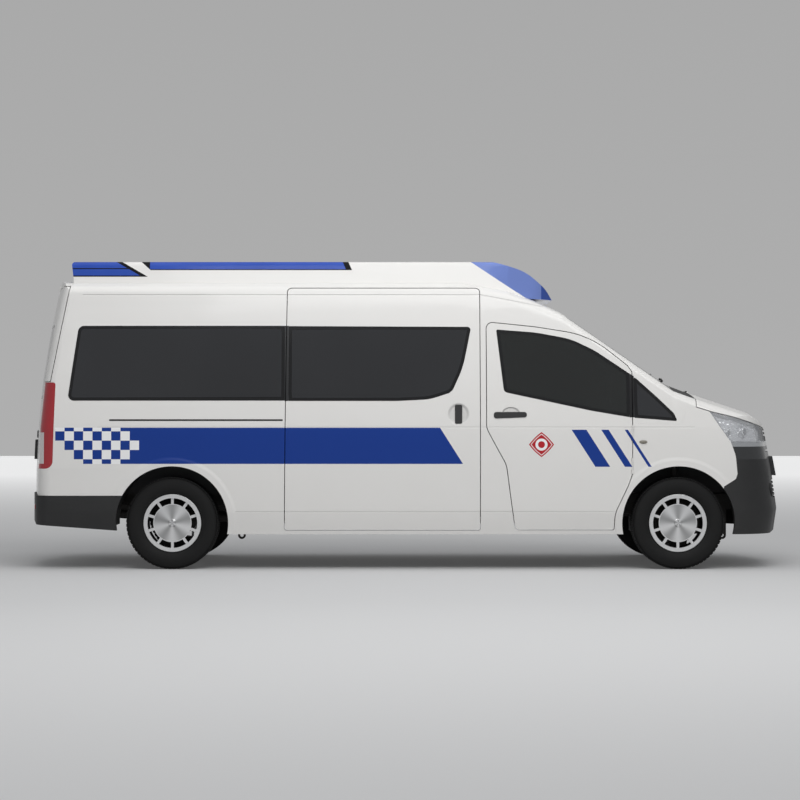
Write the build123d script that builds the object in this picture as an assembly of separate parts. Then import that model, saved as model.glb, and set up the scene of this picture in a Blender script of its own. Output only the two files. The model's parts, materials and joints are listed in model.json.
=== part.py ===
"""High-roof ambulance van: hollow body in separate panels, hinged doors, bonnet and tailgate,
steered front wheels, rolling wheels, running gear, cab fittings and blue warning lights.

Frame: +X forward, +Y to the vehicle's left, +Z up, millimetres.
The origin is on the ground under the middle of the vehicle's length and width.
"""
import math
import os

from build123d import *

# Driving dimensions
WHEELBASE = 3860
FRONT_OVERHANG = 880
REAR_OVERHANG = 1175
HALF_WIDTH = 975
TRACK = 1640
TYRE_RADIUS = 352
TYRE_WIDTH = 235
SILL_Z = 268
CREASE_Z = 440
BELT_Z = 1085
DRIP_Z = 2100
ROOF_Z = 2236
CAP_HEIGHT = 128
WALL = 50
GLASS = 6
SEAT_GAP = 0.3
SHUT_GAP = 6
FLANGE = 24
ARCH_RADIUS = 428
ARCH_LIFT = 6

LENGTH = FRONT_OVERHANG + WHEELBASE + REAR_OVERHANG
NOSE_X = LENGTH / 2
TAIL_X = -LENGTH / 2
FRONT_AXLE_X = NOSE_X - FRONT_OVERHANG
REAR_AXLE_X = TAIL_X + REAR_OVERHANG
HUB_Y = TRACK / 2
HUB_Z = TYRE_RADIUS
RIGHT, LEFT = -1, 1
BEYOND = 400


# Outlines: closed polygons whose corners are rounded by the radius in each row
def outline(rows, place):
    points = [place(u, v) for u, v, r in rows]
    return make_face(FilletPolyline(*points, radius=[r for u, v, r in rows], close=True))


def moved_in(rows, inset):
    """The same polygon with every side moved inwards, and its corner radii to match."""
    count = len(rows)
    pairs = [(rows[i], rows[(i + 1) % count]) for i in range(count)]
    turn = math.copysign(1, sum(a[0] * b[1] - b[0] * a[1] for a, b in pairs))
    sides = []
    for (u0, v0, _), (u1, v1, _) in pairs:
        run = math.hypot(u1 - u0, v1 - v0)
        du, dv = (u1 - u0) / run, (v1 - v0) / run
        sides.append((u0 - dv * turn * inset, v0 + du * turn * inset, du, dv))
    moved = []
    for i in range(count):
        au, av, adu, adv = sides[i - 1]
        bu, bv, bdu, bdv = sides[i]
        cross = adu * bdv - adv * bdu
        along = ((bu - au) * bdv - (bv - av) * bdu) / cross
        radius = rows[i][2] - inset * math.copysign(1, cross * turn)
        moved.append((au + adu * along, av + adv * along, max(radius, 0) if rows[i][2] else 0))
    return moved


def side_prism(rows, y_low, y_high, inset=0):
    """A side-view outline (x, z, radius) swept across the vehicle."""
    face = outline(moved_in(rows, inset), lambda x, z: (x, y_low, z))
    return extrude(face, amount=y_high - y_low, dir=(0, 1, 0))


def end_prism(rows, x_low, x_high, inset=0):
    """A front-view outline (y, z, radius) swept along the vehicle."""
    face = outline(moved_in(rows, inset), lambda y, z: (x_low, y, z))
    return extrude(face, amount=x_high - x_low, dir=(1, 0, 0))


def top_prism(rows, z_low, z_high, inset=0):
    """A top-view outline (x, y, radius) swept upwards."""
    face = outline(moved_in(rows, inset), lambda x, y: (x, y, z_low))
    return extrude(face, amount=z_high - z_low, dir=(0, 0, 1))


def block(x, y, z):
    """A box from (low, high) pairs along the three axes."""
    size = [high - low for low, high in (x, y, z)]
    centre = [(low + high) / 2 for low, high in (x, y, z)]
    return Pos(*centre) * Box(*size)


def on_side(side, rows, inset=0):
    """A side-view prism that reaches through one flank only."""
    low, high = sorted((side * HALF_WIDTH / 2, side * (HALF_WIDTH + BEYOND)))
    return side_prism(rows, low, high, inset)


def rod(start, end, radius):
    """A round bar between two points."""
    path = Vector(*end) - Vector(*start)
    return Plane(start, z_dir=path) * Cylinder(
        radius, path.length, align=(Align.CENTER, Align.CENTER, Align.MIN))


def tube_through(points, radius, bend):
    """A round pipe along straight runs joined by tangent bends."""
    path = FilletPolyline(*points, radius=bend)
    return sweep(Plane(path @ 0, z_dir=path % 0) * Circle(radius), path=path)


def fused(*shapes):
    joined = shapes[0]
    for shape in shapes[1:]:
        joined = joined + shape
    return joined


# Flank curve: half-width of the body at any height, from arcs through three heights
FLANK_SILL_Y = HALF_WIDTH - 45
FLANK_CREASE_Y = HALF_WIDTH - 10
FLANK_BELT_Y = HALF_WIDTH - 6
FLANK_DRIP_Y = HALF_WIDTH - 172
FLANK_LOW_BULGE = 8
FLANK_HIGH_BULGE = 16


def bowed(low, high, bulge, z):
    """Half-width on a shallow arc from (y, z) low to high that stands out by bulge in the middle."""
    share = (z - low[1]) / (high[1] - low[1])
    return low[0] + (high[0] - low[0]) * share + 4 * bulge * share * (1 - share)


def flank_y(z):
    if z < CREASE_Z:
        return bowed((FLANK_SILL_Y, SILL_Z), (FLANK_CREASE_Y, CREASE_Z), 0, z)
    if z < BELT_Z:
        return bowed((FLANK_CREASE_Y, CREASE_Z), (FLANK_BELT_Y, BELT_Z), FLANK_LOW_BULGE, z)
    return bowed((FLANK_BELT_Y, BELT_Z), (FLANK_DRIP_Y, DRIP_Z), FLANK_HIGH_BULGE, z)


# Body sections along the vehicle.
# Columns: distance behind the nose, height of the top at the middle, crown of the top across
# the width, and how far down and in the rounded pillar or roof corner reaches
BODY_STATIONS = [
    (LENGTH + BEYOND, ROOF_Z, 42, 94, 150),
    (2520, ROOF_Z, 42, 94, 150),
    (2180, 2176, 44, 84, 128),
    (1965, 2094, 46, 74, 104),
    (1755, 1998, 50, 62, 84),
    (915, 1424, 64, 58, 78),
    (790, 1376, 62, 60, 86),
    (600, 1311, 58, 66, 110),
    (290, 1208, 56, 76, 140),
    (150, 1106, 50, 80, 150),
    (-BEYOND / 8, 880, 44, 80, 150),
]

# Plan outlines up the body. Columns: height, distance of the tail ahead of the rear limit,
# distance of the nose behind the front limit, and the radii of the rear and front corners
PLAN_LEVELS = [
    (SILL_Z - BEYOND / 4, 13, 40, 120, 330),
    (CREASE_Z, 13, 0, 120, 330),
    (760, 18, 44, 120, 330),
    (BELT_Z, 34, 106, 120, 330),
    (1440, 68, 150, 110, 280),
    (1800, 128, 190, 104, 240),
    (DRIP_Z, 190, 220, 96, 200),
    (ROOF_Z + BEYOND / 8, 240, 240, 90, 200),
]
TAIL_BOW = 165
NOSE_BOW = 195
TAIL_BOW_RADIUS = 1500
NOSE_BOW_RADIUS = 1200
PLAN_MARGIN = 1.5


def body_section(x, top, crown, drop, into, inset, floor):
    """One cross-section: sill, tuck under the crease, flank, pillar corner and crowned top."""
    top -= inset
    roof_z = top - crown
    shoulder_z = roof_z - drop
    belt_z = min(BELT_Z, shoulder_z - WALL)
    crease_z = min(CREASE_Z, belt_z - WALL)
    heights = [floor, crease_z, belt_z, shoulder_z]
    sill, crease, belt, shoulder = [(flank_y(z) - inset, z) for z in heights]
    roof = (shoulder[0] - into, roof_z)
    corner = ((shoulder[0] + roof[0]) / 2 + into * 0.2, (shoulder_z + roof_z) / 2 + drop * 0.2)

    def half(side):
        def at(point):
            return (x, side * point[0], point[1])

        def middle(low, high):
            z = (low[1] + high[1]) / 2
            return at((flank_y(z) - inset, z))

        return [
            Line(at(sill), at(crease)),
            ThreePointArc(at(crease), middle(crease, belt), at(belt)),
            ThreePointArc(at(belt), middle(belt, shoulder), at(shoulder)),
            ThreePointArc(at(shoulder), at(corner), at(roof)),
        ]

    left, right = half(LEFT), half(RIGHT)
    top_arc = ThreePointArc((x, roof[0], roof_z), (x, 0, top), (x, -roof[0], roof_z))
    bottom = Line((x, -sill[0], floor), (x, sill[0], floor))
    return make_face(Wire([bottom] + left + [top_arc] + right))


def plan_section(z, tail, nose, tail_radius, nose_radius, inset, bumper):
    """One plan outline at height z, with bowed tail and nose and rounded corners."""
    half_width = flank_y(z) + PLAN_MARGIN
    tail_x = TAIL_X + (0 if bumper else tail)
    nose_x = NOSE_X - nose
    tail_tip = tail_x - TAIL_BOW_RADIUS * (math.hypot(1, TAIL_BOW / half_width) - 1)
    nose_tip = nose_x + NOSE_BOW_RADIUS * (math.hypot(1, NOSE_BOW / half_width) - 1)
    rows = [
        (nose_tip - NOSE_BOW, half_width, nose_radius),
        (tail_tip + TAIL_BOW, half_width, tail_radius),
        (tail_tip, 0, TAIL_BOW_RADIUS),
        (tail_tip + TAIL_BOW, -half_width, tail_radius),
        (nose_tip - NOSE_BOW, -half_width, nose_radius),
        (nose_tip, 0, NOSE_BOW_RADIUS),
    ]
    return outline(moved_in(rows, inset), lambda x, y: (x, y, z))


def envelope(inset, bumper=False):
    """The closed body form, moved in by inset; the inner forms reach below the sill."""
    floor = SILL_Z - (BEYOND / 4 if inset > GLASS else 0)
    stations = [
        body_section(NOSE_X - back, top, crown, drop, into, inset, floor)
        for back, top, crown, drop, into in BODY_STATIONS
    ]
    plans = [plan_section(*level, inset, bumper) for level in PLAN_LEVELS]
    return loft(stations, ruled=True) & loft(plans, ruled=True)


OUTER = envelope(0)
INNER = envelope(WALL)
UNDER_GLASS = envelope(GLASS + SEAT_GAP)
BEHIND_GLASS = envelope(GLASS)
ON_INNER = envelope(WALL + SEAT_GAP)
CLEAR_OF_DOORS = envelope(WALL + SHUT_GAP)
SHELL = OUTER - INNER

# Side-view outlines: x from the named axle, z, corner radius
F, R = FRONT_AXLE_X, REAR_AXLE_X
DOOR_FRONT_X = F - 355
FRONT_DOOR = [
    (F - 493, 304, 14), (F - 487, 430, 240), (F - 387, 640, 180), (DOOR_FRONT_X, 730, 100),
    (DOOR_FRONT_X, 1505, 30), (F - 387, 1552, 60), (F - 609, 1730, 700), (F - 781, 1800, 600),
    (F - 1077, 1848, 1200), (F - 1460, 1888, 45), (F - 1460, 1078, 120), (F - 1387, 940, 160),
    (F - 1309, 800, 200), (F - 1277, 560, 700), (F - 1241, 304, 34),
]
SLIDE_FRONT_X = F - 1513
SLIDE_REAR_X = R + 876
SLIDING_DOOR = [
    (SLIDE_FRONT_X, 302, 14), (SLIDE_FRONT_X, 2150, 32), (SLIDE_REAR_X, 2150, 32), (SLIDE_REAR_X - 16, 302, 14),
]
REAR_PANE = [(R + 858, 1286, 6), (R + 858, 1860, 6), (R - 721, 1860, 48), (R - 797, 1286, 44)]
MIDDLE_PANE = [
    (R + 888, 1284, 6), (R + 888, 1858, 6), (F - 1577, 1852, 24), (F - 1641, 1540, 700),
    (F - 1727, 1350, 80), (F - 1897, 1296, 400), (F - 2137, 1284, 900),
]
DOOR_PANE = [
    (F - 1387, 1832, 12), (F - 1329, 1352, 36), (F - 657, 1208, 1200), (F - 372, 1160, 8),
    (F - 372, 1494, 8), (F - 637, 1672, 600), (F - 815, 1758, 500), (F - 1077, 1808, 1200),
]
QUARTER_PANE = [(F - 339, 1156, 8), (F - 9, 1130, 10), (F - 37, 1192, 60), (F - 177, 1326, 400), (F - 339, 1472, 8)]
FENDER = [
    (F - 577, 100, 0), (F - 577, 1122, 0), (F + 17, 1106, 0), (F + 73, 1250, 0), (F + 73, 1700, 0),
    (NOSE_X + BEYOND, 1700, 0), (NOSE_X + BEYOND, 100, 0),
]
BONNET_REAR_X = F + 138
BONNET = [
    (BONNET_REAR_X, 1240, 0), (F + 228, 1212, 30), (F + 248, 1206, 0), (F + 418, 1166, 900), (F + 646, 1096, 300),
    (NOSE_X + BEYOND, 960, 0), (NOSE_X + BEYOND, 1700, 0), (BONNET_REAR_X, 1700, 0),
]
LAMP_SEAM_Z = 968
FRONT_BUMPER = [
    (F + 303, 100, 0), (F + 343, 633, 0), (F + 433, 690, 30), (F + 446, 729, 30), (F + 433, 870, 200),
    (F + 397, LAMP_SEAM_Z, 0), (NOSE_X + BEYOND, LAMP_SEAM_Z, 0), (NOSE_X + BEYOND, 100, 0),
]
NOSE_LAMPS = [
    (F + 397, LAMP_SEAM_Z, 0), (F + 302, 1103, 200), (F + 228, 1214, 0), (F + 248, 1700, 0),
    (NOSE_X + BEYOND, 1700, 0), (NOSE_X + BEYOND, LAMP_SEAM_Z, 0),
]
TAILGATE_TOP_Z = 2164
ROOF_SEAM_Z = TAILGATE_TOP_Z + SHUT_GAP
ROOF_FRONT_X = F - 1517
HEADER_X = F - 760
ROOF_TOP = [
    (TAIL_X - BEYOND, ROOF_SEAM_Z, 0), (ROOF_FRONT_X, ROOF_SEAM_Z, 0),
    (ROOF_FRONT_X, 2500, 0), (TAIL_X - BEYOND, 2500, 0),
]
ROOF_FRONT = [(ROOF_FRONT_X, 2110, 0), (HEADER_X, 1840, 0), (HEADER_X, 2500, 0), (ROOF_FRONT_X, 2500, 0)]
ROOF_FRONT_PLAN = [
    (ROOF_FRONT_X, 697, 0), (HEADER_X, 770, 0), (HEADER_X, -770, 0), (ROOF_FRONT_X, -697, 0),
]
TAILGATE_STEP_Z = 1434
TAILGATE_WRAP = [
    (R - 932, TAILGATE_STEP_Z, 0), (R - 800, TAILGATE_TOP_Z, 0),
    (TAIL_X - BEYOND, TAILGATE_TOP_Z, 0), (TAIL_X - BEYOND, TAILGATE_STEP_Z, 0),
]
REAR_BUMPER_TOP_Z = 563
REAR_BUMPER = [
    (R - 200, REAR_BUMPER_TOP_Z, 0), (R - 200, 296, 0), (R - 430, 296, 0), (TAIL_X, 350, 0),
    (TAIL_X - BEYOND, 350, 0), (TAIL_X - BEYOND, REAR_BUMPER_TOP_Z, 0),
]
TAIL_LAMP = [
    (R - 906, 768, 60), (R - 888, 1426, 20), (TAIL_X - BEYOND, 1426, 0), (TAIL_X - BEYOND, 768, 0),
]

# Front- and rear-view outlines: y, z, corner radius
ROOF_END = [
    (720, 2210, 0), (720, 2500, 0), (-720, 2500, 0), (-720, 2210, 0), (-600, 2090, 0), (600, 2090, 0),
]
TAILGATE_HALF_WIDTH = 784
WINDSCREEN = [
    (845, 1374, 50), (745, 1930, 60), (0, 1975, 4000), (-745, 1930, 60), (-845, 1374, 50), (0, 1432, 4000),
]
TAILGATE_PANE = [(690, 1300, 60), (650, 1880, 60), (-650, 1880, 60), (-690, 1300, 60)]
GRILLE_HALF_WIDTH = 466
AIR_INTAKE = [(560, 500, 40), (600, 700, 40), (-600, 700, 40), (-560, 500, 40)]
LOWER_GRILLE = [(600, 848, 20), (650, 948, 20), (-650, 948, 20), (-600, 848, 20)]


def across(rows, inset=0):
    """A side-view prism right through the vehicle."""
    return side_prism(rows, -HALF_WIDTH - BEYOND, HALF_WIDTH + BEYOND, inset)


def roof_zone(inset):
    """All that the roof panel takes: the top, its slanted edges and the sloped front with the header."""
    front = across(ROOF_FRONT, inset) & top_prism(ROOF_FRONT_PLAN, 0, 3 * HALF_WIDTH, inset)
    edges = end_prism(ROOF_END, R - 900 + inset, ROOF_FRONT_X + WALL, inset)
    return across(ROOF_TOP, inset) + edges + front


def half_of(shape, side):
    """The solids of a shape that lie on one side of the middle."""
    return fused(*[solid for solid in shape.solids() if solid.center().Y * side > 0])


def glazed(panel, prism, hole):
    """A panel with a rebate for flush glass and a through hole that leaves a seat around it."""
    return panel - (prism - UNDER_GLASS) - hole


def pane(prism):
    return (OUTER & prism) - BEHIND_GLASS


# Wheel arches: round openings through the flanks
ARCHES = fused(*[
    rod((x, side * HALF_WIDTH / 2, HUB_Z + ARCH_LIFT), (x, side * (HALF_WIDTH + BEYOND), HUB_Z + ARCH_LIFT),
        ARCH_RADIUS)
    for x in (FRONT_AXLE_X, REAR_AXLE_X) for side in (LEFT, RIGHT)
])

# Cut every panel out of the shell along the shut lines and seams
SEAM = SEAT_GAP
BEHIND_TAIL = (TAIL_X - BEYOND, R - 850)
ACROSS = (-HALF_WIDTH - BEYOND, HALF_WIDTH + BEYOND)
TAILGATE_ZONE = across(TAILGATE_WRAP) + block(
    BEHIND_TAIL, (-TAILGATE_HALF_WIDTH, TAILGATE_HALF_WIDTH), (REAR_BUMPER_TOP_Z + SHUT_GAP, TAILGATE_TOP_Z))
TAILGATE_OPENING = across(TAILGATE_WRAP, -SHUT_GAP) + block(
    BEHIND_TAIL, (-TAILGATE_HALF_WIDTH - SHUT_GAP, TAILGATE_HALF_WIDTH + SHUT_GAP),
    (REAR_BUMPER_TOP_Z, TAILGATE_TOP_Z + SHUT_GAP))
COWL_HALF_WIDTH = 868
COWL_ZONE = block((F - 180, BONNET_REAR_X - SHUT_GAP), (-COWL_HALF_WIDTH, COWL_HALF_WIDTH), (1250, 1600))

WINDSCREEN_PRISM = end_prism(WINDSCREEN, F - 1177, NOSE_X, SEAT_GAP)
WINDSCREEN_REBATE = end_prism(WINDSCREEN, F - 1177, NOSE_X)
WINDSCREEN_HOLE = end_prism(WINDSCREEN, F - 1177, NOSE_X, FLANGE)

bare_shell = SHELL - ARCHES
roof_panel = bare_shell & roof_zone(SEAM)
below_roof = bare_shell - roof_zone(0)
tailgate = below_roof & TAILGATE_ZONE
body = below_roof - TAILGATE_OPENING - block(
    (TAIL_X - BEYOND, R - 200), ACROSS, (0, REAR_BUMPER_TOP_Z + SEAM))
bonnet = body & across(BONNET)
body = body - across(BONNET, -SHUT_GAP)
nose = body & across(NOSE_LAMPS)
body = body - across(NOSE_LAMPS, -SEAM)
front_bumper = body & across(FRONT_BUMPER)
body = body - across(FRONT_BUMPER, -SEAM)
cowl_panel = glazed(body & COWL_ZONE, WINDSCREEN_REBATE, WINDSCREEN_HOLE)
roof_panel = glazed(roof_panel, WINDSCREEN_REBATE, WINDSCREEN_HOLE)
body = glazed(body - COWL_ZONE, WINDSCREEN_REBATE, WINDSCREEN_HOLE)
windscreen = pane(WINDSCREEN_PRISM)

# Rear bumper: stands a little proud of the tail and drops below the tailgate
rear_bumper = ((envelope(0, bumper=True) - INNER) & across(REAR_BUMPER)) - ARCHES

# Tail lamps fill the rear corners beside the tailgate
tail_lamp_zone = across(TAIL_LAMP, SEAM)
tail_lamps = body & tail_lamp_zone
body = body - across(TAIL_LAMP)

# Nose: a lens over a housing on each side, and the slatted grille between and below them
SLAT_PITCH = 30
SLOT_HEIGHT = 15
GRILLE_RIM = 22
upper_grille_zone = block((F, NOSE_X + BEYOND), (-GRILLE_HALF_WIDTH, GRILLE_HALF_WIDTH), (0, 1700))
lower_grille_zone = end_prism(LOWER_GRILLE, F, NOSE_X + BEYOND, SEAM)
intake_zone = end_prism(AIR_INTAKE, F, NOSE_X + BEYOND, SEAM)
headlamps = nose - block(
    (F, NOSE_X + BEYOND), (-GRILLE_HALF_WIDTH - SEAM, GRILLE_HALF_WIDTH + SEAM), (0, 1700))
headlamp_lenses = headlamps - BEHIND_GLASS
headlamp_housings = headlamps & UNDER_GLASS


def slots(half_width, z_low, z_high):
    """Level air slots one above another, as one cutter."""
    count = int((z_high - z_low) // SLAT_PITCH)
    first = (z_low + z_high - (count - 1) * SLAT_PITCH) / 2
    return fused(*[
        block((F, NOSE_X + BEYOND), (-half_width, half_width),
              (first + i * SLAT_PITCH - SLOT_HEIGHT / 2, first + i * SLAT_PITCH + SLOT_HEIGHT / 2))
        for i in range(count)
    ])


grille = fused(
    (nose & upper_grille_zone) - slots(GRILLE_HALF_WIDTH - GRILLE_RIM, LAMP_SEAM_Z + GRILLE_RIM, 1074),
    (front_bumper & lower_grille_zone) - slots(580, 848 + GRILLE_RIM, 948 - GRILLE_RIM),
    (front_bumper & intake_zone) - slots(530, 500 + GRILLE_RIM, 700 - GRILLE_RIM),
)
front_bumper = front_bumper - end_prism(LOWER_GRILLE, F, NOSE_X + BEYOND) - end_prism(AIR_INTAKE, F, NOSE_X + BEYOND)

# Front doors with their shut gap, and what is left of each side
doors, fenders, sides = {}, {}, {}
for side in (RIGHT, LEFT):
    flank = half_of(body, side)
    whole_door = below_roof & on_side(side, FRONT_DOOR)
    doors[side] = glazed(whole_door, on_side(side, DOOR_PANE), on_side(side, DOOR_PANE, FLANGE))
    flank = flank - on_side(side, FRONT_DOOR, -SHUT_GAP)
    fenders[side] = flank & across(FENDER, SEAM)
    flank = flank - across(FENDER)
    for rows in (QUARTER_PANE, REAR_PANE, MIDDLE_PANE):
        if side == LEFT or rows is not MIDDLE_PANE:
            flank = glazed(flank, on_side(side, rows), on_side(side, rows, FLANGE))
    sides[side] = flank
sliding_door = glazed(
    below_roof & on_side(RIGHT, SLIDING_DOOR), on_side(RIGHT, MIDDLE_PANE), on_side(RIGHT, MIDDLE_PANE, FLANGE))
sides[RIGHT] = sides[RIGHT] - on_side(RIGHT, SLIDING_DOOR, -SHUT_GAP)
door_panes = {side: pane(on_side(side, DOOR_PANE, SEAT_GAP)) for side in (RIGHT, LEFT)}
side_panes = {
    side: fused(*[pane(on_side(side, rows, SEAT_GAP)) for rows in (QUARTER_PANE, MIDDLE_PANE, REAR_PANE)])
    for side in (RIGHT, LEFT)
}

# Tailgate glass
tailgate_prism = end_prism(TAILGATE_PANE, TAIL_X - BEYOND, R)
tailgate = glazed(tailgate, tailgate_prism, end_prism(TAILGATE_PANE, TAIL_X - BEYOND, R, FLANGE))
tailgate_window = pane(end_prism(TAILGATE_PANE, TAIL_X - BEYOND, R, SEAT_GAP))

# Hinges: a knuckle on the moving panel between two on the fixed one, with a pin through all three
KNUCKLE_RADIUS = 5
KNUCKLE_LENGTH = 60
PIN_RADIUS = 2.5
PIN_CLEARANCE = 0.3
LEAF = 16
LEAF_CLEARANCE = 1


def along(centre, axis, low, high, radius):
    start = Vector(*centre) + Vector(*axis) * low
    return rod(tuple(start), tuple(start + Vector(*axis) * (high - low)), radius)


def hinge(moving, fixed, centre, axis, moving_leaf, fixed_leaf):
    """Both panels with their knuckles; a leaf is a (x, y, z) reach from the axis into its panel."""
    half = KNUCKLE_LENGTH / 2
    spans = [(-half * 2, -half - SEAT_GAP), (half + SEAT_GAP, half * 2)]
    around = KNUCKLE_RADIUS + SHUT_GAP / 2

    def leaf(low, high, reach):
        bars = []
        for middle, axial, span in zip(centre, axis, reach):
            near, far = (low, high) if axial else sorted((math.copysign(LEAF_CLEARANCE, span), span))
            bars.append((middle + near, middle + far))
        return block(*bars)

    moving = moving - fused(*[along(centre, axis, low - 1, high + 1, around) for low, high in spans])
    fixed = fixed - along(centre, axis, -half - 1, half + 1, around)
    knuckle = leaf(-half, half, moving_leaf) + along(centre, axis, -half, half, KNUCKLE_RADIUS)
    moving = moving + knuckle - along(centre, axis, -half - 1, half + 1, PIN_RADIUS + PIN_CLEARANCE)
    for low, high in spans:
        fixed = fixed + leaf(low, high, fixed_leaf) + along(centre, axis, low, high, KNUCKLE_RADIUS)
    return moving, fixed + along(centre, axis, spans[0][0], spans[1][1], PIN_RADIUS)


DOOR_HINGE_HEIGHTS = (790, 1040)
DOOR_HINGE_Y = HALF_WIDTH + 2
for side in (RIGHT, LEFT):
    for z in DOOR_HINGE_HEIGHTS:
        doors[side], fenders[side] = hinge(
            doors[side], fenders[side], (DOOR_FRONT_X, side * DOOR_HINGE_Y, z), (0, 0, 1),
            (-LEAF, -side * LEAF, 0), (LEAF, -side * KNUCKLE_RADIUS * 2, 0))

TAIL_HINGE_X = TAIL_X + 211
TAIL_HINGE_YS = (-120, 120)
for y in TAIL_HINGE_YS:
    tailgate, roof_panel = hinge(
        tailgate, roof_panel, (TAIL_HINGE_X, y, TAILGATE_TOP_Z), (0, 1, 0), (LEAF, 0, -LEAF), (LEAF, 0, LEAF * 2))

BONNET_HINGE_Z = 1361
BONNET_HINGE_YS = (-220, 220)
for y in BONNET_HINGE_YS:
    bonnet, cowl_panel = hinge(
        bonnet, cowl_panel, (BONNET_REAR_X, y, BONNET_HINGE_Z), (0, 1, 0), (LEAF, 0, -LEAF), (-LEAF, 0, -LEAF / 2))

# Roof cap: a hollow moulding on the roof that carries the warning lights
CAP_TOP_Z = ROOF_Z + CAP_HEIGHT
CAP_SKIN = 12
CAP_LOW_Z = 2080
CAP_HALF_WIDTH = 690
CAP_FRONT_X = F - 1577
CAP_LIP_X = F - 1322
CAP_REAR_X = R - 765
LIGHT_DEPTH = 60
REAR_LIGHT_HALF_GAP = 330
CAP_SIDE = [
    (CAP_REAR_X, CAP_LOW_Z, 0), (CAP_REAR_X - 40, CAP_TOP_Z, 24), (CAP_FRONT_X, CAP_TOP_Z, 0),
    (CAP_LIP_X, ROOF_Z - 44, 0), (CAP_LIP_X + 170, CAP_LOW_Z, 0),
]
CAP_END = [
    (CAP_HALF_WIDTH + 20, CAP_LOW_Z, 0), (CAP_HALF_WIDTH - 46, CAP_TOP_Z, 46),
    (46 - CAP_HALF_WIDTH, CAP_TOP_Z, 46), (-CAP_HALF_WIDTH - 20, CAP_LOW_Z, 0),
]
DOME_SIDE = [
    (CAP_FRONT_X, CAP_TOP_Z, 0), (F - 1412, CAP_TOP_Z + 2, 240), (F - 1147, 2292, 420), (F - 977, 2160, 260),
    (F - 861, 1985, 0), (F - 1077, 1900, 0), (CAP_LIP_X + 170, CAP_LOW_Z, 0), (CAP_LIP_X, ROOF_Z - 44, 0),
]
DOME_PLAN = [
    (CAP_FRONT_X - BEYOND, CAP_HALF_WIDTH, 0), (CAP_LIP_X, CAP_HALF_WIDTH - 20, 300), (F - 1037, 500, 300),
    (F - 864, 180, 160), (F - 864, -180, 160), (F - 1037, -500, 300), (CAP_LIP_X, 20 - CAP_HALF_WIDTH, 300),
    (CAP_FRONT_X - BEYOND, -CAP_HALF_WIDTH, 0),
]
SIDE_BAR = [(R - 311, CAP_TOP_Z + 40, 0), (F - 2540, CAP_TOP_Z + 40, 0), (F - 2493, 2298, 0), (R - 192, 2298, 0)]
REAR_LIGHT = [
    (R - BEYOND * 3, CAP_TOP_Z + 40, 0), (R - 485, CAP_TOP_Z + 40, 0), (R - 212, 2246, 0), (R - BEYOND * 3, 2246, 0),
]


def cap_form(side_rows, inset):
    ends = end_prism(CAP_END, CAP_REAR_X - BEYOND, F, inset)
    return across(side_rows, inset) & ends


def beyond_y(limit, inset):
    """Everything further from the middle than a half-width."""
    return fused(*[
        block((TAIL_X - BEYOND, NOSE_X), sorted((side * (limit + inset), side * (HALF_WIDTH + BEYOND))), (0, 4000))
        for side in (RIGHT, LEFT)
    ])


on_roof = envelope(-SEAT_GAP)
whole_cap = cap_form(CAP_SIDE, 0) - on_roof
hollow = cap_form(
    [(x, z if z > CAP_LOW_Z else CAP_LOW_Z - CAP_SKIN * 2, r) for x, z, r in CAP_SIDE], CAP_SKIN)
bar_zone = across(SIDE_BAR) & beyond_y(CAP_HALF_WIDTH - LIGHT_DEPTH - 46, 0)
rear_zone = across(REAR_LIGHT) & beyond_y(REAR_LIGHT_HALF_GAP, 0)
roof_cap = whole_cap - hollow - bar_zone - rear_zone
side_warning_lights = fused(
    whole_cap & across(SIDE_BAR, SEAT_GAP) & beyond_y(CAP_HALF_WIDTH - LIGHT_DEPTH - 46, SEAT_GAP),
    whole_cap & across(REAR_LIGHT, SEAT_GAP) & beyond_y(REAR_LIGHT_HALF_GAP, SEAT_GAP),
)
front_warning_light = (
    cap_form(DOME_SIDE, SEAT_GAP) & top_prism(DOME_PLAN, 1500, 3000)) - on_roof

# Underbody: ladder rails, cross-members and the load floor on top of them
FLOOR_Z = 560
FLOOR_THICK = 40
RAIL_INNER_Y = 400
RAIL_OUTER_Y = 470
RAIL_LOW_Z = 440
RAIL_FRONT_X = F + 560
RAIL_REAR_X = R - 995
FLOOR_TOP_Z = FLOOR_Z + FLOOR_THICK
CAB_FLOOR_X = F - 440
LINER_THICK = 6
FRONT_LINER_RADIUS = 475
REAR_LINER_RADIUS = ARCH_RADIUS + 4
FRONT_LINER_Y = 500
REAR_LINER_Y = 640
LINER_OUTER_Y = 905
AXLE_CENTRE_Z = HUB_Z + ARCH_LIFT
CROSS_MEMBER_XS = (F + 480, F - 520, F - 1500, R + 1150, R + 640, R - 640, R - 955)
MEMBER_HALF = 40


def wheel_space(x, radius, y_inner, y_outer):
    """Round clearance over both wheels of an axle."""
    return fused(*[
        rod((x, side * y_inner, AXLE_CENTRE_Z), (x, side * y_outer, AXLE_CENTRE_Z), radius) for side in (RIGHT, LEFT)
    ])


WELL_MARGIN = LINER_THICK + SEAT_GAP
front_wells = wheel_space(F, FRONT_LINER_RADIUS + WELL_MARGIN, FRONT_LINER_Y - SEAT_GAP, HALF_WIDTH + BEYOND)
rear_wells = wheel_space(R, REAR_LINER_RADIUS + WELL_MARGIN, REAR_LINER_Y - SEAT_GAP, HALF_WIDTH + BEYOND)
door_zones = fused(
    on_side(RIGHT, FRONT_DOOR, -SHUT_GAP), on_side(LEFT, FRONT_DOOR, -SHUT_GAP)) - CLEAR_OF_DOORS
floor_pan = (ON_INNER & block((R - 1080, CAB_FLOOR_X), ACROSS, (FLOOR_Z, FLOOR_TOP_Z))) - rear_wells - front_wells
floor_pan = floor_pan - door_zones - (TAILGATE_OPENING - CLEAR_OF_DOORS)

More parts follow.
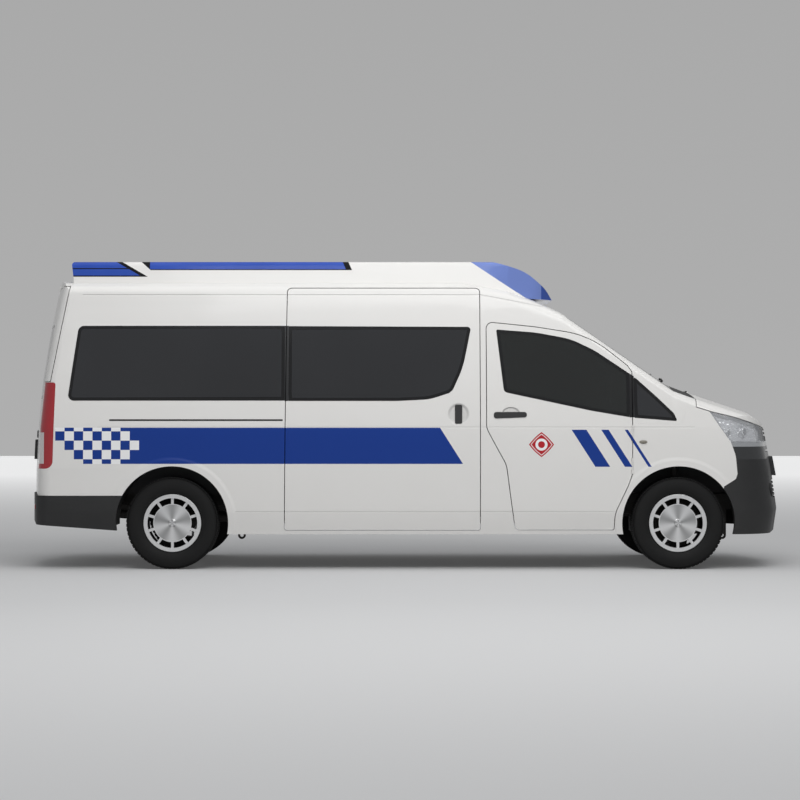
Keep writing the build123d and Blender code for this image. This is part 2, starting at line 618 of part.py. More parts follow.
TOWER_HALF = 60
TOWER_TOP_Z = 980
SHELF = 20
KINGPIN_Y = HUB_Y - 165
STRUT_RADIUS = 30
SPRING_Y = 560
SPRING_HALF_WIDTH = 30
SPRING_SPAN = 620
SPRING_EYE_Z = 500
rails = fused(*[
    block((RAIL_REAR_X, RAIL_FRONT_X), sorted((side * RAIL_INNER_Y, side * RAIL_OUTER_Y)), (RAIL_LOW_Z, FLOOR_Z))
    for side in (RIGHT, LEFT)
])
members = fused(*[
    block((x - MEMBER_HALF, x + MEMBER_HALF), (SEAT_GAP - RAIL_INNER_Y, RAIL_INNER_Y - SEAT_GAP),
          (RAIL_LOW_Z + MEMBER_HALF, FLOOR_Z))
    for x in CROSS_MEMBER_XS
])
towers = fused(*[
    block((F - TOWER_HALF, F + TOWER_HALF), sorted((side * RAIL_INNER_Y, side * y_outer)), heights)
    for side in (RIGHT, LEFT)
    for y_outer, heights in (
        (RAIL_OUTER_Y, (FLOOR_Z + SEAT_GAP, TOWER_TOP_Z)),
        (KINGPIN_Y + 50, (TOWER_TOP_Z + SEAT_GAP, TOWER_TOP_Z + SHELF)))
])
hangers = fused(*[
    block((x - MEMBER_HALF, x + MEMBER_HALF),
          sorted((side * (RAIL_OUTER_Y + SEAT_GAP), side * (SPRING_Y + SPRING_HALF_WIDTH))),
          (SPRING_EYE_Z + SEAT_GAP, FLOOR_Z))
    for x in (R - SPRING_SPAN, R + SPRING_SPAN) for side in (RIGHT, LEFT)
])
chassis_frame = rails + members + towers + hangers

# Wheel liners: thin half drums over the wheels, walled towards the middle of the vehicle
LINER_LOW_Z = 335
LINER_WALL_LOW_Z = 575


def liners(x, radius, y_inner):
    drum = wheel_space(x, radius + LINER_THICK, y_inner, LINER_OUTER_Y) - wheel_space(
        x, radius, y_inner - 1, LINER_OUTER_Y + 1)
    wall = wheel_space(x, radius + LINER_THICK / 2, y_inner, y_inner + LINER_THICK)
    around = (x - BEYOND * 2, x + BEYOND * 2)
    return (drum - block(around, ACROSS, (0, LINER_LOW_Z))) + (wall - block(around, ACROSS, (0, LINER_WALL_LOW_Z)))


strut_holes = fused(*[
    rod((F, side * KINGPIN_Y, HUB_Z), (F, side * KINGPIN_Y, TOWER_TOP_Z), STRUT_RADIUS + SHUT_GAP)
    for side in (RIGHT, LEFT)
])
front_liners = liners(F, FRONT_LINER_RADIUS, FRONT_LINER_Y) - strut_holes
wheel_liners = (front_liners + liners(R, REAR_LINER_RADIUS, REAR_LINER_Y)) & ON_INNER

# Front suspension: a subframe with lower arms under the rails, and a strut over each steering axis
KNUCKLE_LOW_Z = 186
KNUCKLE_TOP_Z = 560
KNUCKLE_COLUMN = 34
ARM_LOW_Z = 150
ARM_HALF = 45
SUBFRAME_HALF = 120
SUBFRAME_TOP_Z = KNUCKLE_LOW_Z + 54
subframe = block(
    (F - SUBFRAME_HALF, F + SUBFRAME_HALF), (-RAIL_OUTER_Y, RAIL_OUTER_Y), (ARM_LOW_Z, SUBFRAME_TOP_Z))
front_suspension = fused(
    subframe,
    block((F - ARM_HALF, F + ARM_HALF), (-KINGPIN_Y, KINGPIN_Y), (ARM_LOW_Z, KNUCKLE_LOW_Z - SEAT_GAP)),
    *[rod((F, side * KINGPIN_Y, ARM_LOW_Z), (F, side * KINGPIN_Y, KNUCKLE_LOW_Z - SEAT_GAP), ARM_HALF)
      for side in (RIGHT, LEFT)],
    *[block((F - SUBFRAME_HALF, F + SUBFRAME_HALF), sorted((side * RAIL_INNER_Y, side * RAIL_OUTER_Y)),
            (ARM_LOW_Z, RAIL_LOW_Z - SEAT_GAP)) for side in (RIGHT, LEFT)],
)
struts = fused(*[
    rod((F, side * KINGPIN_Y, KNUCKLE_TOP_Z + SEAT_GAP), (F, side * KINGPIN_Y, TOWER_TOP_Z - SEAT_GAP),
        STRUT_RADIUS)
    for side in (RIGHT, LEFT)
])
front_suspension = front_suspension + struts

# Wheels: section rows are distance outwards from the tyre's middle plane, radius, corner radius
RIM_SEAT = 203.2
RIM_HALF = 82
FLANGE_RADIUS = 220
RIM_SKIN = 13
HUB_RADIUS = 72
HUB_INNER = -20
SPINDLE_RADIUS = 30
SPINDLE_CLEARANCE = 0.05
SPINDLE_END = 58
COVER_OPENINGS = 10
OPENING_LOW, OPENING_HIGH = 146, 193
OPENING_ANGLE = 29
TYRE_SECTION = [
    (-RIM_HALF, RIM_SEAT + SEAT_GAP, 0), (-RIM_HALF, 224, 10), (-TYRE_WIDTH / 2, 276, 46),
    (3 - TYRE_WIDTH / 2, 326, 30), (24 - TYRE_WIDTH / 2, TYRE_RADIUS, 16), (TYRE_WIDTH / 2 - 24, TYRE_RADIUS, 16),
    (TYRE_WIDTH / 2 - 3, 326, 30), (TYRE_WIDTH / 2, 276, 46), (RIM_HALF, 224, 10),
    (RIM_HALF, RIM_SEAT + SEAT_GAP, 0),
]
FLANGE_OUT = RIM_HALF + 9
RIM_SECTION = [
    (-FLANGE_OUT, RIM_SEAT - RIM_SKIN, 0), (-FLANGE_OUT, FLANGE_RADIUS, 2), (-RIM_HALF - SEAT_GAP, FLANGE_RADIUS, 2),
    (-RIM_HALF - SEAT_GAP, RIM_SEAT, 0), (RIM_HALF + SEAT_GAP, RIM_SEAT, 0), (RIM_HALF + SEAT_GAP, FLANGE_RADIUS, 2),
    (FLANGE_OUT, FLANGE_RADIUS, 2), (FLANGE_OUT, RIM_SEAT - RIM_SKIN, 0),
]
COVER_SECTION = [
    (92, 0, 0), (92, 26, 0), (82, 30, 0), (70, 142, 0), (66, RIM_SEAT - 2, 0), (FLANGE_OUT - 1, RIM_SEAT - 2, 0),
    (80, 196, 5), (84, 142, 12), (100, 30, 6), (108, 26, 3), (110, 0, 0),
]
WHEELS = {
    "front_right": (FRONT_AXLE_X, RIGHT), "front_left": (FRONT_AXLE_X, LEFT),
    "rear_right": (REAR_AXLE_X, RIGHT), "rear_left": (REAR_AXLE_X, LEFT),
}


def turned(rows, x, side):
    """A section turned about a wheel's axis."""
    face = outline(rows, lambda out, radius: (x, side * (HUB_Y + out), HUB_Z + radius))
    return revolve(face, axis=Axis((x, 0, HUB_Z), (0, 1, 0)))


def cover_openings(x, side):
    """Ring-sector windows around the cover."""
    ring = rod((x, side * (HUB_Y + 40), HUB_Z), (x, side * (HUB_Y + 100), HUB_Z), OPENING_HIGH) - rod(
        (x, side * (HUB_Y + 30), HUB_Z), (x, side * (HUB_Y + 110), HUB_Z), OPENING_LOW)
    spoke_half = math.radians(180 / COVER_OPENINGS - OPENING_ANGLE / 2) * (OPENING_LOW + OPENING_HIGH) / 2
    spoke = block((x, x + FLANGE_RADIUS), sorted((side * (HUB_Y + 30), side * (HUB_Y + 110))),
                  (HUB_Z - spoke_half, HUB_Z + spoke_half))
    about = Axis((x, 0, HUB_Z), (0, 1, 0))
    for i in range(COVER_OPENINGS):
        ring = ring - spoke.rotate(about, 360 / COVER_OPENINGS * (i + 0.5))
    return ring


tyres, rims = {}, {}
for name, (x, side) in WHEELS.items():
    tyres[name] = turned(TYRE_SECTION, x, side)
    hub = rod((x, side * (HUB_Y + HUB_INNER), HUB_Z), (x, side * (HUB_Y + 84), HUB_Z), HUB_RADIUS)
    bore = rod((x, side * (HUB_Y + HUB_INNER - 1), HUB_Z), (x, side * (HUB_Y + SPINDLE_END + SEAT_GAP), HUB_Z),
               SPINDLE_RADIUS + SPINDLE_CLEARANCE)
    cover = turned(COVER_SECTION, x, side) - cover_openings(x, side)
    rims[name] = (turned(RIM_SECTION, x, side) + cover + hub) - bore

# Steering knuckles: a column on the steering axis with a bearing carrier and spindle
CARRIER_RADIUS = 55
CARRIER_END = HUB_INNER - SHUT_GAP
knuckles = {}
for side in (RIGHT, LEFT):
    knuckles[side] = fused(
        rod((F, side * KINGPIN_Y, KNUCKLE_LOW_Z), (F, side * KINGPIN_Y, KNUCKLE_TOP_Z), KNUCKLE_COLUMN),
        rod((F, side * KINGPIN_Y, HUB_Z), (F, side * (HUB_Y + CARRIER_END), HUB_Z), CARRIER_RADIUS),
        rod((F, side * KINGPIN_Y, HUB_Z), (F, side * (HUB_Y + SPINDLE_END), HUB_Z), SPINDLE_RADIUS),
    )

# Driveline: engine block, live rear axle with its shaft, leaf springs
AXLE_TUBE = 50
DIFF_RADIUS = 120
ENGINE_X = (F - 260, F + 330)
ENGINE_HALF_WIDTH = 300
ENGINE_Z = (SUBFRAME_TOP_Z + SEAT_GAP, 900)
SHAFT_RADIUS = 36
SHAFT_FRONT_Z = 420
engine_block = block(ENGINE_X, (-ENGINE_HALF_WIDTH, ENGINE_HALF_WIDTH), ENGINE_Z) - block(
    (F + 480 - MEMBER_HALF * 3, NOSE_X), ACROSS, (0, 900))
rear_axle = fused(
    rod((R, -HUB_Y - HUB_INNER + SHUT_GAP, HUB_Z), (R, HUB_Y + HUB_INNER - SHUT_GAP, HUB_Z), AXLE_TUBE),
    rod((R, -HUB_Y - SPINDLE_END, HUB_Z), (R, HUB_Y + SPINDLE_END, HUB_Z), SPINDLE_RADIUS),
    Pos(R, 0, HUB_Z) * Sphere(DIFF_RADIUS),
    rod((R, 0, HUB_Z), (ENGINE_X[0] - SHUT_GAP, 0, SHAFT_FRONT_Z), SHAFT_RADIUS),
)
LEAF_THICK = 36
leaf_low_z = HUB_Z + AXLE_TUBE + SEAT_GAP
leaf_side = [
    (R - SPRING_SPAN - MEMBER_HALF, SPRING_EYE_Z, 0), (R - SPRING_SPAN + 60, SPRING_EYE_Z, 100),
    (R - 120, leaf_low_z + LEAF_THICK, 300), (R + 120, leaf_low_z + LEAF_THICK, 300),
    (R + SPRING_SPAN - 60, SPRING_EYE_Z, 100), (R + SPRING_SPAN + MEMBER_HALF, SPRING_EYE_Z, 0),
    (R + SPRING_SPAN + MEMBER_HALF, SPRING_EYE_Z - LEAF_THICK, 0),
    (R + SPRING_SPAN - 60, SPRING_EYE_Z - LEAF_THICK, 100),
    (R + 120, leaf_low_z, 300), (R - 120, leaf_low_z, 300),
    (R - SPRING_SPAN + 60, SPRING_EYE_Z - LEAF_THICK, 100),
    (R - SPRING_SPAN - MEMBER_HALF, SPRING_EYE_Z - LEAF_THICK, 0),
]
leaf_springs = fused(*[
    side_prism(leaf_side, *sorted((side * (SPRING_Y - SPRING_HALF_WIDTH), side * (SPRING_Y + SPRING_HALF_WIDTH))))
    for side in (RIGHT, LEFT)
])

# Exhaust and fuel tank hang from the floor
PIPE_RADIUS = 27
PIPE_Y = 250
PIPE_Z = 380
PIPE_OVER_AXLE_Z = 470
SILENCER_RADIUS = 75
SILENCER_X = (F - 2700, F - 2000)
HANGER_RADIUS = 8
HANGER_XS = (F - 1900, F - 2800, R - 700)
exhaust = tube_through([
    (ENGINE_X[0] - SEAT_GAP, PIPE_Y, PIPE_Z), (R + 420, PIPE_Y, PIPE_Z), (R + 200, PIPE_Y, PIPE_OVER_AXLE_Z),
    (R - 200, PIPE_Y, PIPE_OVER_AXLE_Z), (R - 420, PIPE_Y, PIPE_Z), (R - 1060, PIPE_Y, PIPE_Z - 20),
], PIPE_RADIUS, 120)
exhaust = exhaust + rod((SILENCER_X[0], PIPE_Y, PIPE_Z), (SILENCER_X[1], PIPE_Y, PIPE_Z), SILENCER_RADIUS)
exhaust = fused(exhaust, *[
    rod((x, PIPE_Y, PIPE_Z), (x, PIPE_Y, FLOOR_Z - SEAT_GAP), HANGER_RADIUS) for x in HANGER_XS])
TANK_ROWS = [(F - 2600, -380, 60), (F - 1640, -380, 60), (F - 1640, -90, 60), (F - 2600, -90, 60)]
fuel_tank = top_prism(TANK_ROWS, 330, FLOOR_Z - SEAT_GAP)

# Cab: bulkhead, dashboard, steering wheel, seats and the partition behind them
BULKHEAD_X = F - 420
CAB_BASE_Z = FLOOR_TOP_Z + SEAT_GAP
DASH = [
    (F - 566, 1010, 40), (F - 600, 1120, 40), (F - 520, 1226, 60), (F - 130, 1286, 30), (F - 130, 1200, 30),
    (BULKHEAD_X + 24, 990, 0), (F - 480, 990, 20),
]
dashboard = (CLEAR_OF_DOORS & across(DASH)) - front_wells
DASH_FOOT_Z = 990
bulkhead_slab = block((BULKHEAD_X, BULKHEAD_X + 20), ACROSS, (CAB_BASE_Z, DASH_FOOT_Z - SEAT_GAP))
bulkhead = (CLEAR_OF_DOORS & bulkhead_slab) - front_wells
dashboard = dashboard + bulkhead
WHEEL_CENTRE = (F - 690, 420, 1150)
COLUMN_TILT = 35
GRIP_RADIUS = 14
GRIP_RING = 185
lean = math.radians(COLUMN_TILT)
column_dir = Vector(math.cos(lean), 0, -math.sin(lean))
wheel_plane = Plane(WHEEL_CENTRE, z_dir=tuple(column_dir))
dash_face = tuple(Vector(*WHEEL_CENTRE) + column_dir * 180)
steering_wheel = fused(
    wheel_plane * Torus(GRIP_RING, GRIP_RADIUS),
    wheel_plane * Cylinder(60, 40),
    wheel_plane * Box(2 * GRIP_RING, 40, 16),
    rod(WHEEL_CENTRE, dash_face, 30),
) - across(DASH, -SEAT_GAP)
SEAT_Y = 430
SEAT_HALF = 250
SEAT_BACK_X = F - 1330
seat_side = [
    (SEAT_BACK_X + 60, CAB_BASE_Z + 250, 30), (SEAT_BACK_X + 560, CAB_BASE_Z + 270, 60),
    (SEAT_BACK_X + 560, CAB_BASE_Z + 390, 50), (SEAT_BACK_X + 190, CAB_BASE_Z + 370, 50),
    (SEAT_BACK_X + 110, CAB_BASE_Z + 980, 50), (SEAT_BACK_X, CAB_BASE_Z + 980, 40),
]
head_side = [
    (SEAT_BACK_X + 12, CAB_BASE_Z + 979, 0), (SEAT_BACK_X + 96, CAB_BASE_Z + 979, 0),
    (SEAT_BACK_X + 96, CAB_BASE_Z + 1170, 40), (SEAT_BACK_X + 12, CAB_BASE_Z + 1170, 40),
]
seat_solids = []
for side in (RIGHT, LEFT):
    middle = side * SEAT_Y
    seat_solids += [
        side_prism(seat_side, middle - SEAT_HALF, middle + SEAT_HALF),
        side_prism(head_side, middle - 140, middle + 140),
        block((SEAT_BACK_X + 120, SEAT_BACK_X + 520), (middle - 200, middle + 200), (CAB_BASE_Z, CAB_BASE_Z + 265)),
    ]
front_seats = fused(*seat_solids)
PARTITION_X = (SLIDE_FRONT_X + 12, SLIDE_FRONT_X + 36)
PARTITION_WINDOW = [(360, 1330, 40), (360, 1780, 40), (-360, 1780, 40), (-360, 1330, 40)]
partition = (ON_INNER & block(PARTITION_X, ACROSS, (CAB_BASE_Z, ROOF_Z))) - end_prism(PARTITION_WINDOW, R, F)

# Sliding door fittings: the rail cover along the rear panel, carriers on the floor and the handle
RAIL_Z = 1138
rail_rows = [
    (R - 476, RAIL_Z - 7, 5), (SLIDE_REAR_X - 30, RAIL_Z - 7, 5),
    (SLIDE_REAR_X - 30, RAIL_Z + 7, 5), (R - 476, RAIL_Z + 7, 5),
]
SLIDE_HANDLE = [(F - 1704, 1112, 12), (F - 1648, 1112, 12), (F - 1648, 1255, 12), (F - 1704, 1255, 12)]
DOOR_HANDLE = [(F - 1408, 1150, 20), (F - 1156, 1160, 20), (F - 1156, 1200, 20), (F - 1408, 1200, 20)]
HANDLE_PROUD = 4
PROUD = envelope(-HANDLE_PROUD)


def handle(rows, side):
    return (PROUD & on_side(side, rows, SEAT_GAP)) - BEHIND_GLASS


def recess(panel, rows, side):
    return panel - (on_side(side, rows) - UNDER_GLASS)


carriers = fused(*[
    ON_INNER & block((x - 60, x + 60), (-HALF_WIDTH, -HALF_WIDTH / 1.3), (CAB_BASE_Z, FLOOR_TOP_Z + 50))
    for x in (SLIDE_FRONT_X - 160, SLIDE_REAR_X + 160)
])
rail = (OUTER & on_side(RIGHT, rail_rows, SEAT_GAP)) - BEHIND_GLASS
sides[RIGHT] = recess(sides[RIGHT], rail_rows, RIGHT)
sliding_door = recess(sliding_door, SLIDE_HANDLE, RIGHT)
sliding_door_fittings = fused(carriers, rail, handle(SLIDE_HANDLE, RIGHT))
door_handles = {}
for side in (RIGHT, LEFT):
    doors[side] = recess(doors[side], DOOR_HANDLE, side)
    door_handles[side] = handle(DOOR_HANDLE, side)

# Under the rails: bored lugs for tying down and towing, and pads for lifting
EYE_RADIUS = 14
EYE_LUG = 30
EYE_THICK = 24
EYE_Z = 236
EYE_XS = (F + 400, R + 500)
PAD_XS = (F - 900, R + 900)
PAD_HALF = 35
PAD_THICK = 12
RAIL_Y = (RAIL_INNER_Y + RAIL_OUTER_Y) / 2
under_rail = RAIL_LOW_Z - SEAT_GAP
for side in (RIGHT, LEFT):
    lug_y = sorted((side * RAIL_Y - EYE_THICK / 2, side * RAIL_Y + EYE_THICK / 2))
    for x in EYE_XS:
        lug = rod((x, lug_y[0], EYE_Z), (x, lug_y[1], EYE_Z), EYE_LUG) + block(
            (x - EYE_LUG, x + EYE_LUG), lug_y, (EYE_Z, under_rail))
        eye = rod((x, lug_y[0] - EYE_THICK, EYE_Z), (x, lug_y[1] + EYE_THICK, EYE_Z), EYE_RADIUS)
        chassis_frame = chassis_frame + (lug - eye)
    for x in PAD_XS:
        chassis_frame = chassis_frame + block(
            (x - PAD_HALF, x + PAD_HALF), sorted((side * RAIL_INNER_Y, side * RAIL_OUTER_Y)),
            (RAIL_LOW_Z - PAD_THICK, under_rail))

SIDE_NAMES = {RIGHT: "right", LEFT: "left"}
NODES = {
    "floor_pan": floor_pan, "chassis_frame": chassis_frame, "roof_panel": roof_panel, "roof_cap": roof_cap,
    "cowl_panel": cowl_panel, "windscreen": windscreen, "sliding_door": sliding_door,
    "sliding_door_fittings": sliding_door_fittings, "front_bumper": front_bumper, "grille": grille,
    "headlamp_lenses": headlamp_lenses, "headlamp_housings": headlamp_housings, "tail_lamps": tail_lamps,
    "rear_bumper": rear_bumper, "wheel_liners": wheel_liners, "front_seats": front_seats, "dashboard": dashboard,
    "steering_wheel": steering_wheel, "partition": partition, "engine_block": engine_block, "rear_axle": rear_axle,
    "leaf_springs": leaf_springs, "exhaust": exhaust, "fuel_tank": fuel_tank, "front_suspension": front_suspension,
    "front_warning_light": front_warning_light, "side_warning_lights": side_warning_lights,
    "tailgate": tailgate, "tailgate_window": tailgate_window, "bonnet": bonnet,
}
for side, word in SIDE_NAMES.items():
    NODES["body_side_" + word] = sides[side]
    NODES["front_fender_" + word] = fenders[side]
    NODES["side_windows_" + word] = side_panes[side]
    NODES["front_door_" + word] = doors[side]
    NODES["front_door_window_" + word] = door_panes[side]
    NODES["front_door_handle_" + word] = door_handles[side]
    NODES["front_knuckle_" + word] = knuckles[side]
for name in WHEELS:
    NODES["tyre_" + name] = tyres[name]
    NODES["wheel_" + name] = rims[name]

os.makedirs("parts", exist_ok=True)
for name, shape in NODES.items():
    export_step(shape, os.path.join("parts", name + ".step"))
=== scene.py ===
import json
import math

import bmesh
import bpy
from mathutils import Matrix, Vector
from mathutils.bvhtree import BVHTree


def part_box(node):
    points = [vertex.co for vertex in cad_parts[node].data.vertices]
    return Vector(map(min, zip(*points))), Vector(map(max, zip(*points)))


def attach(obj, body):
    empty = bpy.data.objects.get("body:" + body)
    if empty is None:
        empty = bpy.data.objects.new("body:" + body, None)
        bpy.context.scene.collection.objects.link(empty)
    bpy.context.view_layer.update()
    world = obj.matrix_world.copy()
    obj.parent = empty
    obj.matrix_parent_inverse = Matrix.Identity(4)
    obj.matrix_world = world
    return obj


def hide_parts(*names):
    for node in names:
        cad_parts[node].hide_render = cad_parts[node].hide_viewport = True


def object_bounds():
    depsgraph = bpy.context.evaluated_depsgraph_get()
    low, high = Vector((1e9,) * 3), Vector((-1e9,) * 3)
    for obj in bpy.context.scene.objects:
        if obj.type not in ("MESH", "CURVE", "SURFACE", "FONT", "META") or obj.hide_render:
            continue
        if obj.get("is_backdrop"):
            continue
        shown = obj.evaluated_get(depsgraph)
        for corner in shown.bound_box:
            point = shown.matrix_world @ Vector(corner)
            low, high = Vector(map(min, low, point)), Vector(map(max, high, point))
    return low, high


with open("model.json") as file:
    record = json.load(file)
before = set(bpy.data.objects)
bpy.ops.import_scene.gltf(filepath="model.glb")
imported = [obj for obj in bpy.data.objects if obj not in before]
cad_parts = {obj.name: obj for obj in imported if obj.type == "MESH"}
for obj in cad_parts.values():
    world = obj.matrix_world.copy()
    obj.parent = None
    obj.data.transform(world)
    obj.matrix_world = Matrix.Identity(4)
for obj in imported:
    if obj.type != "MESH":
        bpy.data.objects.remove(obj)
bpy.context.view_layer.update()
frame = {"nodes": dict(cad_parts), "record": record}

scene = bpy.context.scene
scene.view_settings.view_transform = "Standard"

# Painted panels: pressed steel skins, hung doors and a moulded roof cap, all sprayed one gloss white.
# The blue band, the checkered end, the slanted stripes and the door emblem are cut from plastic film
# and laid on both flanks at one height.


class Value:
    """A shader value; sums on it add Math nodes to its tree."""

    def __init__(self, tree, socket):
        self.tree = tree
        self.socket = socket

    def maths(self, operation, *others):
        inputs = dict(enumerate((self,) + others))
        return add_node(self.tree, "ShaderNodeMath", {"operation": operation}, inputs)

    def __add__(self, other):
        return self.maths("ADD", other)

    def __radd__(self, other):
        return self.maths("ADD", other)

    def __sub__(self, other):
        return self.maths("SUBTRACT", other)

    def __mul__(self, other):
        return self.maths("MULTIPLY", other)

    def __rmul__(self, other):
        return self.maths("MULTIPLY", other)

    def __truediv__(self, other):
        return self.maths("DIVIDE", other)

    def __rtruediv__(self, other):
        return self.maths("POWER", -1.0) * other

    def __mod__(self, other):
        return self.maths("FLOORED_MODULO", other)

    def __lt__(self, other):
        return self.maths("LESS_THAN", other)

    def __gt__(self, other):
        return self.maths("GREATER_THAN", other)

    def __abs__(self):
        return self.maths("ABSOLUTE")

    def __rsub__(self, other):
        return (self * -1.0).maths("ADD", other)

    def floor(self):
        return self.maths("FLOOR")

    def at_least(self, other):
        return self.maths("MAXIMUM", other)

    def at_most(self, other):
        return self.maths("MINIMUM", other)


def add_node(tree, kind, settings, inputs, output=0):
    """One node with its settings, then its inputs by name or number, as a Value of one output."""
    node = tree.nodes.new(kind)
    for name, setting in settings.items():
        setattr(node, name, setting)
    for name, value in inputs.items():
        if isinstance(value, Value):
            tree.links.new(value.socket, node.inputs[name])
        else:
            node.inputs[name].default_value = value
    return None if output is None else Value(tree, node.outputs[output])


def finish_of(name, **sockets):
    """A new material, its shader and a short way to add nodes to it."""
    material = bpy.data.materials.new(name)
    material.use_nodes = True
    tree = material.node_tree
    shader = tree.nodes["Principled BSDF"]

    def node(kind, settings=None, inputs=None, output=0):
        return add_node(tree, kind, settings or {}, inputs or {}, output)

    def feed(**values):
        for key, value in values.items():
            socket = shader.inputs[key.replace("_", " ")]
            if isinstance(value, Value):
                tree.links.new(value.socket, socket)
            else:
                socket.default_value = value

    feed(**sockets)
    return material, node, feed


def places(node):
    """Object coordinates and their three numbers."""
    coords = node("ShaderNodeTexCoord", output="Object")
    return coords, [node("ShaderNodeSeparateXYZ", {}, {0: coords}, i) for i in range(3)]


def mixed(node, factor, low, high):
    """A colour between two, by a factor."""
    return node("ShaderNodeMix", {"data_type": "RGBA"}, {0: factor, 6: low, 7: high}, 2)


def bumped(node, height, strength, distance):
    """A surface direction that follows a height."""
    return node("ShaderNodeBump", {}, {"Height": height, "Strength": strength, "Distance": distance})


def between(value, low, high):
    """One inside a range of a value, nought outside it."""
    return (value > low) * (value < high)


PAINT_WHITE, PAINT_WORN = (0.745, 0.735, 0.715, 1), (0.705, 0.69, 0.665, 1)
# The crease grey is painted shade, used for the body creases and the hollows behind the door handles.
CREASE_SHADE_GREY, TRIM_BLACK = (0.22, 0.215, 0.21, 1), (0.008, 0.008, 0.009, 1)
PAINT_ROUGHNESS, PAINT_COAT = 0.34, 0.25
FILM_WHITE = (0.84, 0.84, 0.84, 1)
FILM_BLUE = (0.004, 0.036, 0.24, 1)
FILM_RED = (0.44, 0.012, 0.02, 1)
BAND_LOW, BAND_HIGH = 0.805, 1.081
BAND_FRONT_X = 0.260
BAND_LEAN = 0.634
SQUARE = 0.0709
CHECK_REAR_X = -2.6675
CHECK_TOP_Z = 1.124
CHECK_MIDDLE_ROW = 2
BAND_FIRST_COLUMN = 9
STRIPE_LOW, STRIPE_HIGH = 0.783, 1.065
STRIPE_LEAN = 0.64
STRIPES = [(1.261, 1.374), (1.486, 1.543), (1.665, 1.690)]
EMBLEM_X, EMBLEM_Z = 1.032, 0.952
EMBLEM_EDGE, EMBLEM_LINE, EMBLEM_RING = 0.1032, (0.0828, 0.0894), (0.026, 0.046)
STRAIGHT_SHARE, ROUND_SHARE = 0.8, 0.28
FLANK_Y = 0.94
FRONT_AXLE_X, REAR_AXLE_X = 2.0775, -1.7825
ARCH_Z, ARCH_RADIUS = 0.358, 0.428
FLARE, FLARE_OUTER, FLARE_INNER = 0.006, 0.075, 0.040
ARCH_EDGE = 0.0012
CREASE_HALF, CREASE_DEPTH, CUP_DEPTH = 0.007, 0.003, 0.012
DRIP_Z, DRIP_X, DRIP_BEND_X, DRIP_FALL = 2.100, (-2.48, 1.05), 0.57, 0.19
BELT_Z, BELT_X = 1.083, (-2.35, 2.2)
ROCKER_Z, ROCKER_X = 0.440, (-1.3, 1.6)
FRONT_DOOR_CUP = (0.800, 1.196, 0.070, 1.6)
SLIDING_DOOR_CUP = (0.401, 1.185, 0.085, 1.0)
PILLAR_X = (1.704, 1.740)
PILLAR_LOW, PILLAR_TOP, PILLAR_FALL = 1.159, 1.496, 0.667
POST_X, POST_Z = (-0.926, -0.893), (1.284, 1.860)
POST_BLACK = (0.022, 0.0225, 0.024, 1)
POSTS_Y = 0.7

paint, node, feed = finish_of("white_paint", Coat_Roughness=0.08, Specular_IOR_Level=0.3)
coords, (x, y, z) = places(node)
on_flank = abs(y) > FLANK_Y
column = ((x - CHECK_REAR_X) / SQUARE).floor()
row = ((CHECK_TOP_Z - z) / SQUARE).floor()
in_band = between(z, BAND_LOW, BAND_HIGH)
band_start = BAND_FIRST_COLUMN - abs(row - CHECK_MIDDLE_ROW)
solid_band = (column > band_start - 0.5) * (x < (BAND_HIGH - z) * BAND_LEAN + BAND_FRONT_X)
check_zone = (column > row - 1.5) * (column > -0.5) * (column < band_start - 0.5)
check_blue = check_zone * ((column + row) % 2.0 > 0.5)
leaning = x - (STRIPE_HIGH - z) * STRIPE_LEAN
stripes = sum((between(leaning, low, high) for low, high in STRIPES[1:]), between(leaning, *STRIPES[0]))
in_stripes = between(z, STRIPE_LOW, STRIPE_HIGH)
off_x, off_z = abs(x - EMBLEM_X), abs(z - EMBLEM_Z)
diamond = off_x + off_z
ring = (off_x * off_x + off_z * off_z).maths("SQRT")
rounded = diamond * STRAIGHT_SHARE + ring * ROUND_SHARE
emblem = rounded < EMBLEM_EDGE
emblem_white = between(rounded, *EMBLEM_LINE) + between(ring, *EMBLEM_RING)
grime = node("ShaderNodeTexNoise", {}, {"Vector": coords, "Scale": 2.3, "Detail": 4.0})
white = mixed(node, grime * 0.6, PAINT_WHITE, PAINT_WORN)
color = mixed(node, on_flank * in_band * check_zone, white, FILM_WHITE)
blue = on_flank * ((in_band * (solid_band + check_blue)) + in_stripes * stripes).at_most(1.0)
color = mixed(node, blue, color, FILM_BLUE)
color = mixed(node, on_flank * emblem, color, FILM_RED)
color = mixed(node, on_flank * emblem * emblem_white.at_most(1.0), color, FILM_WHITE)


def ramp_between(value, low, high, top=1.0):
    """A smooth rise from 0 at low to top at high."""
    return node("ShaderNodeMapRange", {"interpolation_type": "SMOOTHSTEP"},
                {"Value": value, "From Min": low, "From Max": high, "To Max": top})


def distance_to(centre_x, centre_z, stretch=1.0):
    """How far a place on the flank lies from a centre."""
    across, up = x - centre_x, (z - centre_z) * stretch
    return (across * across + up * up).maths("SQRT")


def cup(cup_x, cup_z, radius, stretch):
    """A round hollow behind a door handle."""
    return 1 - ramp_between(distance_to(cup_x, cup_z, stretch), radius * 0.7, radius)


to_arch = distance_to(FRONT_AXLE_X, ARCH_Z).at_most(distance_to(REAR_AXLE_X, ARCH_Z))
flare = ramp_between(to_arch, ARCH_RADIUS + FLARE_OUTER, ARCH_RADIUS + FLARE_INNER, FLARE)
drip_fall = (x - DRIP_BEND_X).at_least(0.0) * DRIP_FALL
drip = ramp_between(abs(z - DRIP_Z + drip_fall), CREASE_HALF, 0.0) * between(x, *DRIP_X)
belt = ramp_between(abs(z - BELT_Z), CREASE_HALF, 0.0) * between(x, *BELT_X) * on_flank
rocker = ramp_between(abs(z - ROCKER_Z), CREASE_HALF, 0.0) * between(x, *ROCKER_X)
creases = (drip + belt * 0.5 + rocker * 0.5).at_most(1.0)
cups = (cup(*FRONT_DOOR_CUP) + cup(*SLIDING_DOOR_CUP) * (y < 0.0)) * on_flank
# Painted shade: the creases, the drip line and the hollows behind the door handles are painted darker grey,
# as well as being bumped in.
color = mixed(node, creases * 0.28 + cups * 0.22, color, CREASE_SHADE_GREY)
